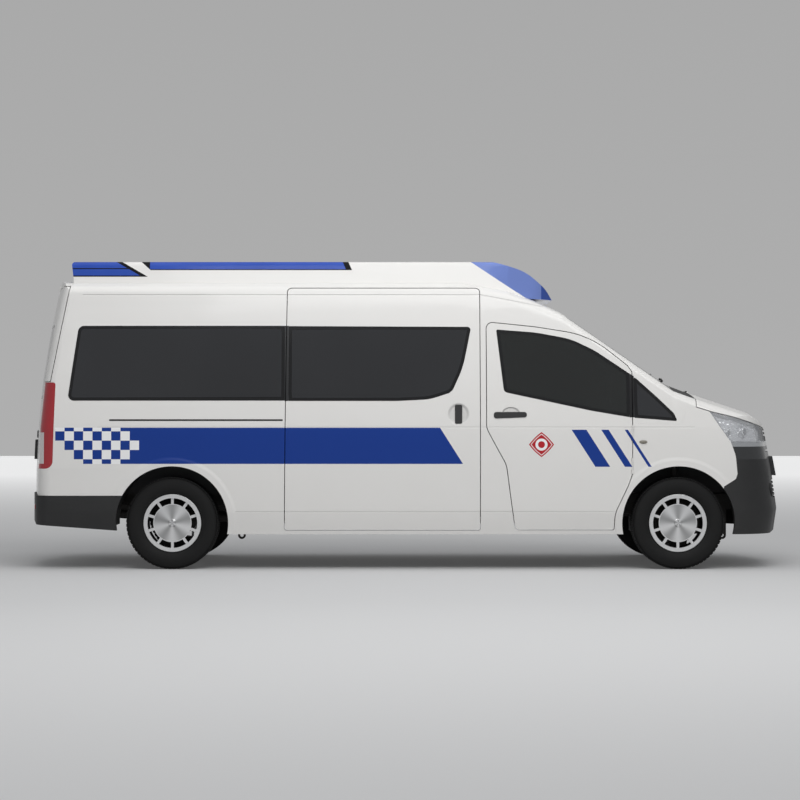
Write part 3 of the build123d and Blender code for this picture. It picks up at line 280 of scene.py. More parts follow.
in_arch = to_arch < ARCH_RADIUS + ARCH_EDGE
color = mixed(node, in_arch, color, TRIM_BLACK)
peel = node("ShaderNodeTexNoise", {}, {"Vector": coords, "Scale": 420.0, "Detail": 1.0})
height = flare - creases * CREASE_DEPTH - cups * CUP_DEPTH + peel * 0.00002
pillar = between(x, *PILLAR_X) * (z > PILLAR_LOW) * (z < PILLAR_TOP - (x - PILLAR_X[0]) * PILLAR_FALL)
color = mixed(node, pillar * (abs(y) > POSTS_Y), color, TRIM_BLACK)
post = between(x, *POST_X) * between(z, *POST_Z) * (abs(y) > POSTS_Y)
color = mixed(node, post, color, POST_BLACK)
feed(Base_Color=color, Coat_Weight=(1 - blue) * PAINT_COAT, Roughness=in_arch * 0.5 + PAINT_ROUGHNESS,
     Normal=bumped(node, height, 1.0, 1.0))


def skin(node_name, material, body, angle=32):
    """A smooth-shaded copy of a CAD node that stands for it."""
    source = frame["nodes"][node_name]
    mesh = source.data.copy()
    mesh.name = node_name + "_skin"
    made = bmesh.new()
    made.from_mesh(mesh)
    bmesh.ops.remove_doubles(made, verts=made.verts, dist=2e-5)
    bmesh.ops.dissolve_degenerate(made, edges=made.edges, dist=1e-5)
    for face in made.faces:
        face.smooth = True
    for edge in made.edges:
        edge.smooth = len(edge.link_faces) == 2 and edge.calc_face_angle(0) < math.radians(angle)
    made.to_mesh(mesh)
    made.free()
    mesh.materials.clear()
    mesh.materials.append(material)
    piece = bpy.data.objects.new(node_name + "_skin", mesh)
    scene.collection.objects.link(piece)
    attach(piece, body)
    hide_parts(node_name)
    return piece


BODY_OF = {name: body for body, names in frame["record"]["behaviour"]["bodies"].items() for name in names}


def dress(names, material, angle=32):
    """Smooth skins in one finish for several nodes."""
    return [skin(name, material, BODY_OF[name], angle) for name in names]


lining, node, feed = finish_of("grey_lining", Roughness=0.75)
coords, (x, y, z) = places(node)
speckle = node("ShaderNodeTexNoise", {}, {"Vector": coords, "Scale": 300.0})
feed(Base_Color=mixed(node, speckle, (0.20, 0.20, 0.205, 1), (0.28, 0.28, 0.285, 1)))


WALL_INSIDE_Y = 0.55
LINED_ABOVE_Z = 0.55
LINED_TURN = 0.55


def line_inside(panel):
    """The faces that look into the vehicle are lined."""
    panel.data.materials.append(lining)
    for face in panel.data.polygons:
        inwards = Vector((0, 0, -1))
        if abs(face.center.y) > WALL_INSIDE_Y:
            inwards = Vector((0, -math.copysign(1, face.center.y), 0))
        if face.normal.dot(inwards) > LINED_TURN and face.center.z > LINED_ABOVE_Z:
            face.material_index = 1


for panel in dress(["roof_panel", "body_side_right", "body_side_left", "front_door_right", "front_door_left",
                    "sliding_door", "tailgate"], paint):
    line_inside(panel)
dress(["roof_cap", "front_fender_right", "front_fender_left", "bonnet"], paint)

# Glass: toughened panes bonded flush into the panels, with a black ceramic band fired onto the edge.
# The load space has dark privacy tint, and the cab's panes are a little lighter, so that the seats show.
BAND_WIDTH = 0.024
BAND_PROUD = 0.0006
BAND_STEP = 0.014


def tinted(name, alpha, dark, light):
    material, node, feed = finish_of(name, Roughness=0.06, Alpha=alpha)
    coords, _ = places(node)
    haze = node("ShaderNodeTexNoise", {}, {"Vector": coords, "Scale": 0.9, "Detail": 2.0})
    feed(Base_Color=mixed(node, haze, dark, light))
    return material


privacy_glass = tinted("privacy_glass", 0.97, (0.020, 0.0205, 0.022, 1), (0.034, 0.035, 0.038, 1))
cab_glass = tinted("cab_glass", 0.86, (0.016, 0.017, 0.0165, 1), (0.028, 0.030, 0.029, 1))
ceramic_band, node, feed = finish_of("ceramic_band", Roughness=0.12)
coords, (x, y, z) = places(node)
dots = node("ShaderNodeTexVoronoi", {}, {"Vector": coords, "Scale": 260.0})
feed(Base_Color=mixed(node, dots, (0.004, 0.004, 0.004, 1), (0.010, 0.010, 0.011, 1)))


def merged(node_name):
    """A CAD node's triangles, joined along their edges."""
    made = bmesh.new()
    made.from_mesh(frame["nodes"][node_name].data)
    bmesh.ops.remove_doubles(made, verts=made.verts, dist=2e-5)
    made.normal_update()
    return made


def piece(name, made, material, body, slot):
    """One finished mesh as an object that rides on a body."""
    mesh = bpy.data.meshes.new(name)
    made.to_mesh(mesh)
    made.free()
    mesh.materials.append(material)
    thing = bpy.data.objects.new(name, mesh)
    scene.collection.objects.link(thing)
    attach(thing, body)
    return thing


def rim_loops(made, outwards):
    """The edges round the outer side of each pane, as closed rows of points."""
    faces = {face for face in made.faces if face.normal.dot(outwards) > 0.55}
    links = {}
    for edge in made.edges:
        if sum(face in faces for face in edge.link_faces) == 1:
            for a, b in (edge.verts, reversed(edge.verts)):
                links.setdefault(a, []).append(b)
    loops = []
    while links:
        first, row, last = next(iter(links)), [], None
        spot = first
        while spot in links:
            following = [v for v in links.pop(spot) if v is not last]
            row.append(spot.co.copy())
            last, spot = spot, following[0]
        loops.append(row)
    return loops


def edge_band(name, node_name, outwards, body):
    """A thin band inside the edge of every pane of a node, lying on the glass."""
    glass = merged(node_name)
    tree = BVHTree.FromBMesh(glass)
    band = bmesh.new()
    for row in rim_loops(glass, outwards):
        kept = [row[0]]
        for point in row[1:]:
            if (point - kept[-1]).length > BAND_STEP and (point - row[0]).length > BAND_STEP:
                kept.append(point)
        face = band.faces.new([band.verts.new(point) for point in kept])
        face.normal_update()
        bmesh.ops.inset_region(
            band, faces=[face], thickness=BAND_WIDTH, use_boundary=True, use_even_offset=True)
        bmesh.ops.delete(band, geom=[face], context="FACES")
    for vert in band.verts:
        spot, normal, _, _ = tree.find_nearest(vert.co)
        vert.co = spot + outwards.normalized() * BAND_PROUD
    bmesh.ops.recalc_face_normals(band, faces=band.faces)
    if sum(face.normal.dot(outwards) * face.calc_area() for face in band.faces) < 0:
        bmesh.ops.reverse_faces(band, faces=band.faces)
    glass.free()
    piece(name, band, ceramic_band, body, "glazing")


OUTWARDS = {"right": Vector((0, -1, 0)), "left": Vector((0, 1, 0))}
dress(["side_windows_right", "side_windows_left", "tailgate_window"], privacy_glass)
dress(["windscreen", "front_door_window_right", "front_door_window_left"], cab_glass)
edge_band("windscreen_band", "windscreen", Vector((0.6, 0, 0.8)), "body")
edge_band("tailgate_window_band", "tailgate_window", Vector((-1, 0, 0.1)), "tailgate")
for word, outwards in OUTWARDS.items():
    edge_band("side_window_band_" + word, "side_windows_" + word, outwards, "body")
    edge_band("door_window_band_" + word, "front_door_window_" + word, outwards, "door_" + word)

# Bumpers, grille, cowl and liners: grained black polypropylene, left in its own colour. The upper
# part of the front bumper is smooth and half gloss, with a bright strip along the foot of the lamps.
GLOSS_LOW = 0.84
STRIP_LOW, STRIP_HIGH = 0.936, 0.972
grained, node, feed = finish_of("grained_black_plastic")
coords, (x, y, z) = places(node)
grain = node("ShaderNodeTexVoronoi", {}, {"Vector": coords, "Scale": 900.0})
wear = node("ShaderNodeTexNoise", {}, {"Vector": coords, "Scale": 5.0, "Detail": 5.0})
at_nose = x > 2.30
gloss_zone = at_nose * between(z, GLOSS_LOW, STRIP_LOW)
strip = at_nose * between(z, STRIP_LOW, STRIP_HIGH)
color = mixed(node, wear, (0.010, 0.010, 0.0105, 1), (0.020, 0.020, 0.020, 1))
color = mixed(node, gloss_zone, color, (0.034, 0.035, 0.036, 1))
feed(Base_Color=mixed(node, strip, color, (0.62, 0.63, 0.64, 1)),
     Metallic=strip * 0.9,
     Roughness=(wear * 0.25 + 0.44) * (1 - gloss_zone - strip) + gloss_zone * 0.25 + strip * 0.16,
     Normal=bumped(node, grain * (1 - gloss_zone - strip), 0.25, 0.0004))
dress(["front_bumper", "rear_bumper", "grille", "cowl_panel", "wheel_liners", "sliding_door_fittings",
       "front_door_handle_right", "front_door_handle_left"], grained)

# Warning lights: blue polycarbonate lenses, fluted inside and screwed down on the roof cap.
# Black rubber closes their slanted ends and runs along their foot.
REAR_END_TOP, REAR_END_FOOT = (-2.2675, 2.404), (-1.9945, 2.246)
BAR_END_TOP, BAR_END_FOOT = (-0.4625, 2.404), (-0.4155, 2.298)
BAR_REAR_X = -2.10
RUBBER_WIDTH = 0.045
DOME_SEGMENT_X = 1.06


def past_line(x, z, top, foot):
    """How far forward a place lies of a slanted line."""
    return x - top[0] - (top[1] - z) * ((foot[0] - top[0]) / (top[1] - foot[1]))


blue_lens, node, feed = finish_of("blue_lens", Specular_IOR_Level=0.12)
coords, (x, y, z) = places(node)
depth = node("ShaderNodeTexNoise", {}, {"Vector": coords, "Scale": 3.0, "Detail": 2.0})
flutes = (x * 60.0).maths("FRACT")
on_rear = x < BAR_REAR_X + 0.12
rear_rubber = on_rear * (past_line(x, z, REAR_END_TOP, REAR_END_FOOT) > -RUBBER_WIDTH)
bar_rubber = (x > -0.62) * (x < 0) * (past_line(x, z, BAR_END_TOP, BAR_END_FOOT) > -RUBBER_WIDTH)
groove = on_rear * between(z, 2.306, 2.314)
foot_line = between(x, -2.2, 0.0) * (z < 2.305) * (1 - on_rear) + on_rear * (z < 2.256)
rubber = (rear_rubber + bar_rubber + foot_line + groove).at_most(1.0)
dome_front = (x > DOME_SEGMENT_X) * 1.0
low = on_rear * (z < 2.306)
color = mixed(node, depth, (0.020, 0.060, 0.34, 1), (0.045, 0.10, 0.46, 1))
color = mixed(node, (x > 0) * 1.0, color, (0.17, 0.24, 0.56, 1))
# Painted shade: the front of the dome is painted darker blue. Below the groove, the rear lamp is painted half
# as dark too.
color = mixed(node, (dome_front + low * 0.5).at_most(1.0), color, (0.030, 0.075, 0.33, 1))
feed(Base_Color=mixed(node, rubber, color, (0.006, 0.006, 0.008, 1)),
     Roughness=rubber * 0.5 + 0.10,
     Normal=bumped(node, flutes, 0.10, 0.002))
dress(["front_warning_light", "side_warning_lights"], blue_lens)

# Head lamps: a clear moulded lens over a bright bowl, with a projector and a turn lamp standing in it.
# Tail lamps: red lenses at the rear corners, with a clear part for the reversing light.
HOUSING_RIM = 0.010
HOUSING_DEPTH = 0.038
CLEAR_Z, CLEAR_REAR_X = (0.806, 1.044), -2.757
clear_lens, node, feed = finish_of("clear_lens", Roughness=0.03, Coat_Weight=0.5)
coords, (x, y, z) = places(node)
tint = node("ShaderNodeTexNoise", {}, {"Vector": coords, "Scale": 6.0})
feed(Base_Color=mixed(node, tint, (0.75, 0.77, 0.80, 1), (0.85, 0.87, 0.90, 1)), Alpha=tint * 0.1 + 0.16)
bright, node, feed = finish_of("lamp_bright", Roughness=0.18, Metallic=0.85)
coords, (x, y, z) = places(node)
facets = node("ShaderNodeTexVoronoi", {}, {"Vector": coords, "Scale": 40.0})
feed(Base_Color=mixed(node, facets, (0.62, 0.63, 0.64, 1), (0.88, 0.88, 0.89, 1)),
     Normal=bumped(node, facets, 0.6, 0.01))
lamp_frame, node, feed = finish_of("lamp_frame", Roughness=0.3)
coords, (x, y, z) = places(node)
tone = node("ShaderNodeTexNoise", {}, {"Vector": coords, "Scale": 30.0})
feed(Base_Color=mixed(node, tone, (0.012, 0.012, 0.013, 1), (0.03, 0.03, 0.032, 1)))
red_lens, node, feed = finish_of("red_lens", Roughness=0.1, Coat_Weight=0.7)
coords, (x, y, z) = places(node)
flutes = (z * 120.0).maths("FRACT")
clear_band = between(z, *CLEAR_Z) * (x < CLEAR_REAR_X)
red = mixed(node, flutes, (0.30, 0.012, 0.018, 1), (0.40, 0.018, 0.026, 1))
feed(Base_Color=mixed(node, clear_band, red, (0.62, 0.58, 0.57, 1)), Normal=bumped(node, flutes, 0.2, 0.002))
dress(["headlamp_lenses"], clear_lens)
dress(["tail_lamps"], red_lens)


def outward_of(face):
    """Whether a face of the nose looks out of the vehicle."""
    middle = face.calc_center_median()
    away = Vector((1.0, 0.9 * math.copysign(1, middle.y), 0.5))
    return face.normal.dot(away.normalized()) > 0.35


housing = merged("headlamp_housings")
rim = bmesh.ops.inset_region(
    housing, faces=[face for face in housing.faces if outward_of(face)],
    thickness=HOUSING_RIM, depth=-HOUSING_DEPTH, use_even_offset=False)
for face in rim["faces"]:
    face.material_index = 1
bowl = piece("headlamp_bowls", housing, bright, "body", "lamp_silver")
bowl.data.materials.append(lamp_frame)
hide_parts("headlamp_housings")


def lathed(made, profile, place, count=32, closed=True):
    """Rows of (distance along Z, radius) turned about Z, then put in place."""
    rings = []
    for along, radius in profile:
        ring = []
        for i in range(count):
            angle = math.tau * i / count
            spot = Vector((radius * math.cos(angle), radius * math.sin(angle), along))
            ring.append(made.verts.new(place @ spot))
        rings.append(ring)
    for low, high in zip(rings, rings[1:]):
        for i in range(count):
            j = (i + 1) % count
            made.faces.new((low[i], low[j], high[j], high[i])).smooth = True
    if closed:
        made.faces.new(list(reversed(rings[0])))
        made.faces.new(rings[-1])
    return rings


def facing(spot, direction):
    """A place whose Z looks along a direction."""
    return Matrix.Translation(spot) @ Vector(direction).to_track_quat("Z", "Y").to_matrix().to_4x4()


PROJECTOR = [(-0.024, 0.030), (-0.010, 0.046), (0.0, 0.052), (0.002, 0.047), (-0.010, 0.038), (-0.012, 0.031)]
TURN_LAMP = [(-0.024, 0.016), (-0.008, 0.028), (0.0, 0.032), (0.002, 0.028), (-0.010, 0.022), (-0.014, 0.018)]
PUPIL = [(-0.014, 0.031), (-0.006, 0.029), (0.001, 0.021), (0.005, 0.010), (0.006, 0.002)]
LAMPS = [((2.610, 1.052), PROJECTOR, 1.0), ((2.470, 1.040), TURN_LAMP, 0.6)]
LAMP_DEPTH = 0.026
LAMP_AHEAD = Vector((0.8, 0, 0))
lens_tree = BVHTree.FromBMesh(merged("headlamp_lenses"))
rings, pupils = bmesh.new(), bmesh.new()
for side in (-1, 1):
    for (lamp_x, lamp_z), profile, size in LAMPS:
        spot, normal, _, _ = lens_tree.ray_cast(Vector((lamp_x, side * 2.0, lamp_z)), Vector((0, -side, 0)))
        place = facing(spot - normal * LAMP_DEPTH, (normal + LAMP_AHEAD).normalized())
        lathed(rings, profile, place)
        lathed(pupils, [(along, radius * size) for along, radius in PUPIL], place)
piece("lamp_reflectors", rings, bright, "body", "lamp_silver")
piece("lamp_projectors", pupils, lamp_frame, "body", "lamp_silver")

# Wheels: steel rims bolted to the hubs, under moulded silver covers. A cover has ten windows round
# a faceted centre. The barrel behind them is painted near-black as painted shade, and the centre's facets
# carry painted light and shade.
COVER_OUT = 0.065
WHEELS = ["front_right", "front_left", "rear_right", "rear_left"]
HUB_Y = 0.82
HUB_Z = 0.352
COVER_CENTRE = 0.140
FACETS = 5
silver, node, feed = finish_of("wheel_silver", Metallic=0.7)
coords, (x, y, z) = places(node)
flake = node("ShaderNodeTexNoise", {}, {"Vector": coords, "Scale": 600.0})
# Painted shade: all of the wheel inboard of the cover's face is painted near-black, so its windows look dark.
behind = abs(y) < HUB_Y + COVER_OUT
from_hub = x - REAR_AXLE_X - (x > 0.0) * (FRONT_AXLE_X - REAR_AXLE_X)
above_hub = z - HUB_Z
in_centre = (from_hub * from_hub + above_hub * above_hub).maths("SQRT") < COVER_CENTRE
# Painted light and shade: the facets of the centre are painted lighter and darker by their turn round the
# hub.
facets = (above_hub.maths("ARCTAN2", from_hub) * FACETS).maths("SINE") * 0.5 + 0.5
color = mixed(node, flake, (0.70, 0.70, 0.70, 1), (0.80, 0.80, 0.80, 1))
color = mixed(node, in_centre * facets * 0.8, color, (0.30, 0.30, 0.30, 1))
feed(Base_Color=mixed(node, behind, color, (0.012, 0.011, 0.011, 1)), Roughness=behind * 0.4 + 0.32)
dress(["wheel_" + name for name in WHEELS], silver)

# Tyres: radial tyres of black rubber, moulded with five rows of tread blocks and a plain sidewall.
# Their beads sit on the seats of the rims.
TREAD_RADIUS = 0.352
TREAD_DEPTH = 0.008
BLOCKS = 64
BLOCK_LENGTH = 0.026
TREAD_GAP = 0.001
TREAD_ROWS = [
    (-0.083, 0.034, 0.5), (-0.042, 0.032, 0.0), (0.0, 0.034, 0.5), (0.042, 0.032, 0.0), (0.083, 0.034, 0.5),
]
TYRE_STEPS = 96
rubber, node, feed = finish_of("tyre_rubber", Specular_IOR_Level=0.25)
coords, (x, y, z) = places(node)
dust = node("ShaderNodeTexNoise", {}, {"Vector": coords, "Scale": 9.0, "Detail": 6.0})
fine = node("ShaderNodeTexNoise", {}, {"Vector": coords, "Scale": 320.0})
feed(Base_Color=mixed(node, dust, (0.005, 0.005, 0.005, 1), (0.012, 0.012, 0.012, 1)),
     Roughness=dust * 0.3 + 0.6, Normal=bumped(node, fine, 0.3, 0.0005))
CARCASS = [
    (-0.082, 0.2035), (-0.084, 0.222), (-0.100, 0.236), (-0.111, 0.256), (-0.1155, 0.276), (-0.1155, 0.292),
    (-0.1135, 0.310), (-0.108, 0.328), (-0.100, 0.338), (-0.090, 0.3435), (-0.05, 0.344), (0.0, 0.344),
]
CARCASS = CARCASS + [(-along, radius) for along, radius in reversed(CARCASS[:-1])]
tread = bpy.data.node_groups.new("tread_blocks", "GeometryNodeTree")
for socket, kind in (("Blocks", "Int"), ("Radius", "Float"), ("Length", "Float"), ("Depth", "Float")):
    tread.interface.new_socket(socket, in_out="INPUT", socket_type="NodeSocket" + kind)
tread.interface.new_socket("Geometry", in_out="OUTPUT", socket_type="NodeSocketGeometry")
block_count = add_node(tread, "NodeGroupInput", {}, {}, "Blocks")
tread_radius = add_node(tread, "NodeGroupInput", {}, {}, "Radius")
block_length = add_node(tread, "NodeGroupInput", {}, {}, "Length")
block_depth = add_node(tread, "NodeGroupInput", {}, {}, "Depth")
step = math.tau / block_count
number = add_node(tread, "GeometryNodeInputIndex", {}, {})
rows = add_node(tread, "GeometryNodeJoinGeometry", {}, {})
join = tread.nodes[-1]
for across, width, shift in TREAD_ROWS:
    ring = add_node(tread, "GeometryNodeMeshCircle", {}, {"Vertices": block_count, "Radius": tread_radius})
    turn = add_node(tread, "ShaderNodeCombineXYZ", {}, {"Z": number * step})
    extent = add_node(tread, "ShaderNodeCombineXYZ", {}, {"X": block_depth, "Y": block_length, "Z": width})
    block = add_node(tread, "GeometryNodeMeshCube", {}, {"Size": extent})
    placed = add_node(
        tread, "GeometryNodeInstanceOnPoints", {}, {"Points": ring, "Instance": block, "Rotation": turn})
    row_turn = add_node(tread, "ShaderNodeCombineXYZ", {}, {"Z": step * shift})
    moved = add_node(
        tread, "GeometryNodeTransform", {},
        {"Geometry": placed, "Translation": (0, 0, across), "Rotation": row_turn})
    tread.links.new(moved.socket, join.inputs[0])
whole = add_node(tread, "GeometryNodeRealizeInstances", {}, {"Geometry": rows})
finished = add_node(tread, "GeometryNodeSetMaterial", {}, {"Geometry": whole, "Material": rubber})
add_node(tread, "NodeGroupOutput", {}, {"Geometry": finished}, None)


def grown(tree, **sizes):
    """The plain mesh that a node tree makes with these sizes."""
    carrier = bpy.data.objects.new("carrier", bpy.data.meshes.new("carrier"))
    scene.collection.objects.link(carrier)
    modifier = carrier.modifiers.new("made", "NODES")
    modifier.node_group = tree
    names = {item.name: item.identifier for item in tree.interface.items_tree if item.in_out == "INPUT"}
    for name, value in sizes.items():
        modifier[names[name]] = value
    mesh = bpy.data.meshes.new_from_object(carrier.evaluated_get(bpy.context.evaluated_depsgraph_get()))
    carrier.modifiers.remove(modifier)
    bpy.data.objects.remove(carrier)
    return mesh


blocks = grown(
    tread, Blocks=BLOCKS, Radius=TREAD_RADIUS - TREAD_DEPTH / 2 - TREAD_GAP,
    Length=BLOCK_LENGTH, Depth=TREAD_DEPTH)
for name in WHEELS:
    low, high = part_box("tyre_" + name)
    hub = Matrix.Translation((low + high) / 2) @ Matrix.Rotation(math.pi / 2, 4, "X")
    made = bmesh.new()
    made.from_mesh(blocks)
    rings = lathed(made, CARCASS, Matrix.Identity(4), count=TYRE_STEPS, closed=False)
    for i in range(TYRE_STEPS):
        j = (i + 1) % TYRE_STEPS
        made.faces.new((rings[-1][i], rings[-1][j], rings[0][j], rings[0][i]))
    made.transform(hub)
    bmesh.ops.recalc_face_normals(made, faces=made.faces)
    tyre = piece("tyre_shape_" + name, made, rubber, "wheel_" + name, "tyre_rubber")
    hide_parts("tyre_" + name)

# Underbody and running gear: pressed and cast steel, welded and bolted together.
# All of it is in black wax, with road dust on it.
underbody, node, feed = finish_of("underbody_steel", Metallic=0.2)
coords, (x, y, z) = places(node)
dust = node("ShaderNodeTexNoise", {}, {"Vector": coords, "Scale": 7.0, "Detail": 6.0})
feed(Base_Color=mixed(node, dust, (0.012, 0.012, 0.013, 1), (0.05, 0.045, 0.04, 1)),
     Roughness=dust * 0.4 + 0.45)
dress(["chassis_frame", "floor_pan", "rear_axle", "leaf_springs", "front_suspension", "fuel_tank",
       "engine_block", "front_knuckle_right", "front_knuckle_left", "exhaust"], underbody)

# Cab mouldings: the dashboard, the steering wheel and the partition behind the seats.
# They are moulded in grained grey plastic and screwed to the body.
cab_plastic, node, feed = finish_of("cab_plastic", Roughness=0.6)
coords, (x, y, z) = places(node)
grain = node("ShaderNodeTexVoronoi", {}, {"Vector": coords, "Scale": 700.0})
tone = node("ShaderNodeTexNoise", {}, {"Vector": coords, "Scale": 4.0})
feed(Base_Color=mixed(node, tone, (0.05, 0.05, 0.052, 1), (0.085, 0.085, 0.088, 1)),
     Normal=bumped(node, grain, 0.3, 0.0004))
dress(["dashboard", "steering_wheel", "partition"], cab_plastic)

# Front seats: foam cushions in woven covers on a moulded base. Each cushion is crowned, its sides pull
# in between the corners, and two sewn channels run along its face.
SEAT_STEPS = 28
CHANNEL_WIDTH = 0.07
CHANNEL_DEPTH = 0.010
fabric, node, feed = finish_of("seat_fabric", Roughness=0.9)
coords, (x, y, z) = places(node)
warp = (y * 420.0).maths("FRACT")
weft = ((x + z) * 420.0).maths("FRACT")
weave = (warp > 0.5) * (weft > 0.5) + (warp < 0.5) * (weft < 0.5)
shade = node("ShaderNodeTexNoise", {}, {"Vector": coords, "Scale": 12.0, "Detail": 3.0})
color = mixed(node, weave, (0.040, 0.041, 0.046, 1), (0.060, 0.061, 0.068, 1))
feed(Base_Color=mixed(node, shade * 0.5, color, (0.030, 0.031, 0.036, 1)),
     Normal=bumped(node, weave, 0.4, 0.0008))
base_low, base_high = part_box("front_seats")
SEAT_MIDDLE_Y = base_high.y - 0.25
CUSHIONS = {
    "cushion": ((0.50, 0.49, 0.125), (0.315, 0.325), 0.02, (-0.5, 0.5)),
    "backrest": ((0.60, 0.48, 0.115), (0.105, 0.68), math.radians(-83), (-0.5, 0.5)),
    "headrest": ((0.18, 0.27, 0.085), (0.054, 1.075), math.radians(-88), ()),
}
CORNER_ROUNDING, BALL_RADIUS = 0.22, 1.15
SIDE_PULL, FLAT_SHARE, CROWN_SHARE = 0.035, 0.84, 0.20
CHANNEL_END = 0.9


def stuffed(size, place, channels):
    """A closed cushion: long, wide and thick, face up, with sewn channels along its face."""
    made = bmesh.new()
    bmesh.ops.create_cube(made, size=2.0)
    bmesh.ops.subdivide_edges(made, edges=made.edges, cuts=SEAT_STEPS, use_grid_fill=True)
    for vert in made.verts:
        u, v, w = vert.co
        bulge = (1 - u * u) * (1 - v * v)
        ball = vert.co.normalized()
        u, v, w = Vector((u, v, w)).lerp(ball * BALL_RADIUS, CORNER_ROUNDING)
        pull = 1 - SIDE_PULL * bulge
        lift = w * (FLAT_SHARE + CROWN_SHARE * bulge)
        for middle in channels:
            near = (v - middle) / CHANNEL_WIDTH
            lift -= max(w, 0) * CHANNEL_DEPTH / size[2] * 2 * math.exp(-near * near) * (abs(u) < CHANNEL_END)
        vert.co = Vector((u * pull * size[0] / 2, v * pull * size[1] / 2, lift * size[2] / 2))
    made.transform(place)
    for face in made.faces:
        face.smooth = True
    return made


for word, side in (("right", -1), ("left", 1)):
    for label, (size, (along, up), tilt, channels) in CUSHIONS.items():
        spot = Vector((base_low.x + along, side * SEAT_MIDDLE_Y, base_low.z + up))
        place = Matrix.Translation(spot) @ Matrix.Rotation(tilt, 4, "Y").inverted()
        made = stuffed(size, place, channels)
        cushion = piece("seat_%s_%s" % (label, word), made, fabric, "body", "seat_fabric")


def rounded_box(made, low, high, radius):
    """A box with softened edges, added to a mesh."""
    low, high = Vector(low), Vector(high)
    box = bmesh.new()
    bmesh.ops.create_cube(box, size=1.0)
    box.transform(Matrix.Translation((low + high) / 2) @ Matrix.Diagonal((*(high - low), 1)))
    bmesh.ops.bevel(box, geom=box.edges, offset=radius, segments=3, affect="EDGES", profile=0.5)
    mesh = bpy.data.meshes.new("box")
    box.to_mesh(mesh)
    box.free()
    made.from_mesh(mesh)
    bpy.data.meshes.remove(mesh)


BASE_X, BASE_HALF_WIDTH, BASE_HEIGHT, BASE_EDGE = (0.12, 0.52), 0.20, 0.25, 0.02
POST_OFF, POST_BACK, POST_HALF, POST_HEIGHTS, POST_EDGE = 0.06, 0.051, 0.006, (0.93, 1.02), 0.003
bases = bmesh.new()
for side in (-1, 1):
    middle = base_low + Vector((0, side * SEAT_MIDDLE_Y - base_low.y, 0))
    rounded_box(bases, middle + Vector((BASE_X[0], -BASE_HALF_WIDTH, 0)),
                middle + Vector((BASE_X[1], BASE_HALF_WIDTH, BASE_HEIGHT)), BASE_EDGE)
    for across in (-POST_OFF, POST_OFF):
        rounded_box(bases, middle + Vector((POST_BACK - POST_HALF, across - POST_HALF, POST_HEIGHTS[0])),
                    middle + Vector((POST_BACK + POST_HALF, across + POST_HALF, POST_HEIGHTS[1])), POST_EDGE)
seat_base = piece("seat_bases", bases, cab_plastic, "body", "interior_plastic")
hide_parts("front_seats")

# Small outside fittings: side repeaters, wipers, bare plates, fog lamps and reflectors.
# Each is clipped or bonded to the panel under it, so its place is read from that panel's surface.
def surface(node_name, start, direction):
    """Where a line from outside meets a node, and the way the surface looks there."""
    made = merged(node_name)
    spot, normal, _, _ = BVHTree.FromBMesh(made).ray_cast(Vector(start), Vector(direction))
    made.free()
    return spot, normal


def laid_on(spot, normal, up=(0, 0, 1)):
    """A place on a surface: X along it, Y up it, Z out of it."""
    out = normal.normalized()
    along = Vector(up).cross(out).normalized()
    frame_of = Matrix((along, out.cross(along), out)).transposed().to_4x4()
    return Matrix.Translation(spot) @ frame_of


def pad(made, place, size, edge):
    """A low plate with softened edges, lying on a surface."""
    box = bmesh.new()
    bmesh.ops.create_cube(box, size=1.0)
    box.transform(Matrix.Diagonal((*size, 1)))
    bmesh.ops.bevel(box, geom=box.edges, offset=edge, segments=3, affect="EDGES", profile=0.5)
    box.transform(place)
    mesh = bpy.data.meshes.new("pad")
    box.to_mesh(mesh)
    box.free()
    made.from_mesh(mesh)
    bpy.data.meshes.remove(mesh)


smoked, node, feed = finish_of("smoked_lens", Roughness=0.15)
coords, (x, y, z) = places(node)
ribs = (x * 180.0).maths("FRACT")
feed(Base_Color=mixed(node, ribs, (0.16, 0.15, 0.13, 1), (0.26, 0.24, 0.20, 1)),
     Normal=bumped(node, ribs, 0.3, 0.001))
plate_white, node, feed = finish_of("plate_white", Roughness=0.45)
coords, (x, y, z) = places(node)
beads = node("ShaderNodeTexVoronoi", {}, {"Vector": coords, "Scale": 500.0})
feed(Base_Color=mixed(node, beads, (0.60, 0.60, 0.59, 1), (0.70, 0.70, 0.69, 1)))
REPEATER_X, REPEATER_Z = 1.807, 0.972
REPEATER = [(-0.002, 0.031), (0.003, 0.0305), (0.007, 0.026), (0.0095, 0.016), (0.0105, 0.003)]
FLATTEN = Matrix.Diagonal((1.0, 0.45, 1.0, 1.0))
for word, outwards in OUTWARDS.items():
    spot, normal = surface("front_fender_" + word, (REPEATER_X, outwards.y * 2, REPEATER_Z), -outwards)
    lens = bmesh.new()
    lathed(lens, REPEATER, laid_on(spot, normal) @ FLATTEN)
    piece("side_repeater_" + word, lens, smoked, "body", "clear_lens")

PLATE = (0.46, 0.125, 0.004)
HOLDER = (0.49, 0.155, 0.012)
HANDLE = (0.62, 0.06, 0.026)
PLATE_EDGE, HOLDER_EDGE, HANDLE_EDGE = 0.0015, 0.003, 0.008
HANDLE_CUTS = 12
FRONT_PLATE_Z, REAR_PLATE_Z, HANDLE_Z = 0.775, 0.905, 1.025


def seat_back(made, place, node_name, inwards):
    """Moves the back of a flat piece onto the bowed panel behind it."""
    panel = merged(node_name)
    tree = BVHTree.FromBMesh(panel)
    outside = place.inverted()
    for vert in made.verts:
        if (outside @ vert.co).z < 0:
            spot = tree.ray_cast(vert.co - inwards, inwards)[0]
            vert.co = spot if spot else vert.co
    panel.free()


def bend_to(made, spot, node_name, inwards):
    """Bends a straight piece to the bow of the panel behind it."""
    panel = merged(node_name)
    tree = BVHTree.FromBMesh(panel)
    for vert in made.verts:
        behind = tree.ray_cast(Vector((spot.x, vert.co.y, spot.z)) - inwards, inwards)[0]
        vert.co.x += behind.x - spot.x if behind else 0
    panel.free()


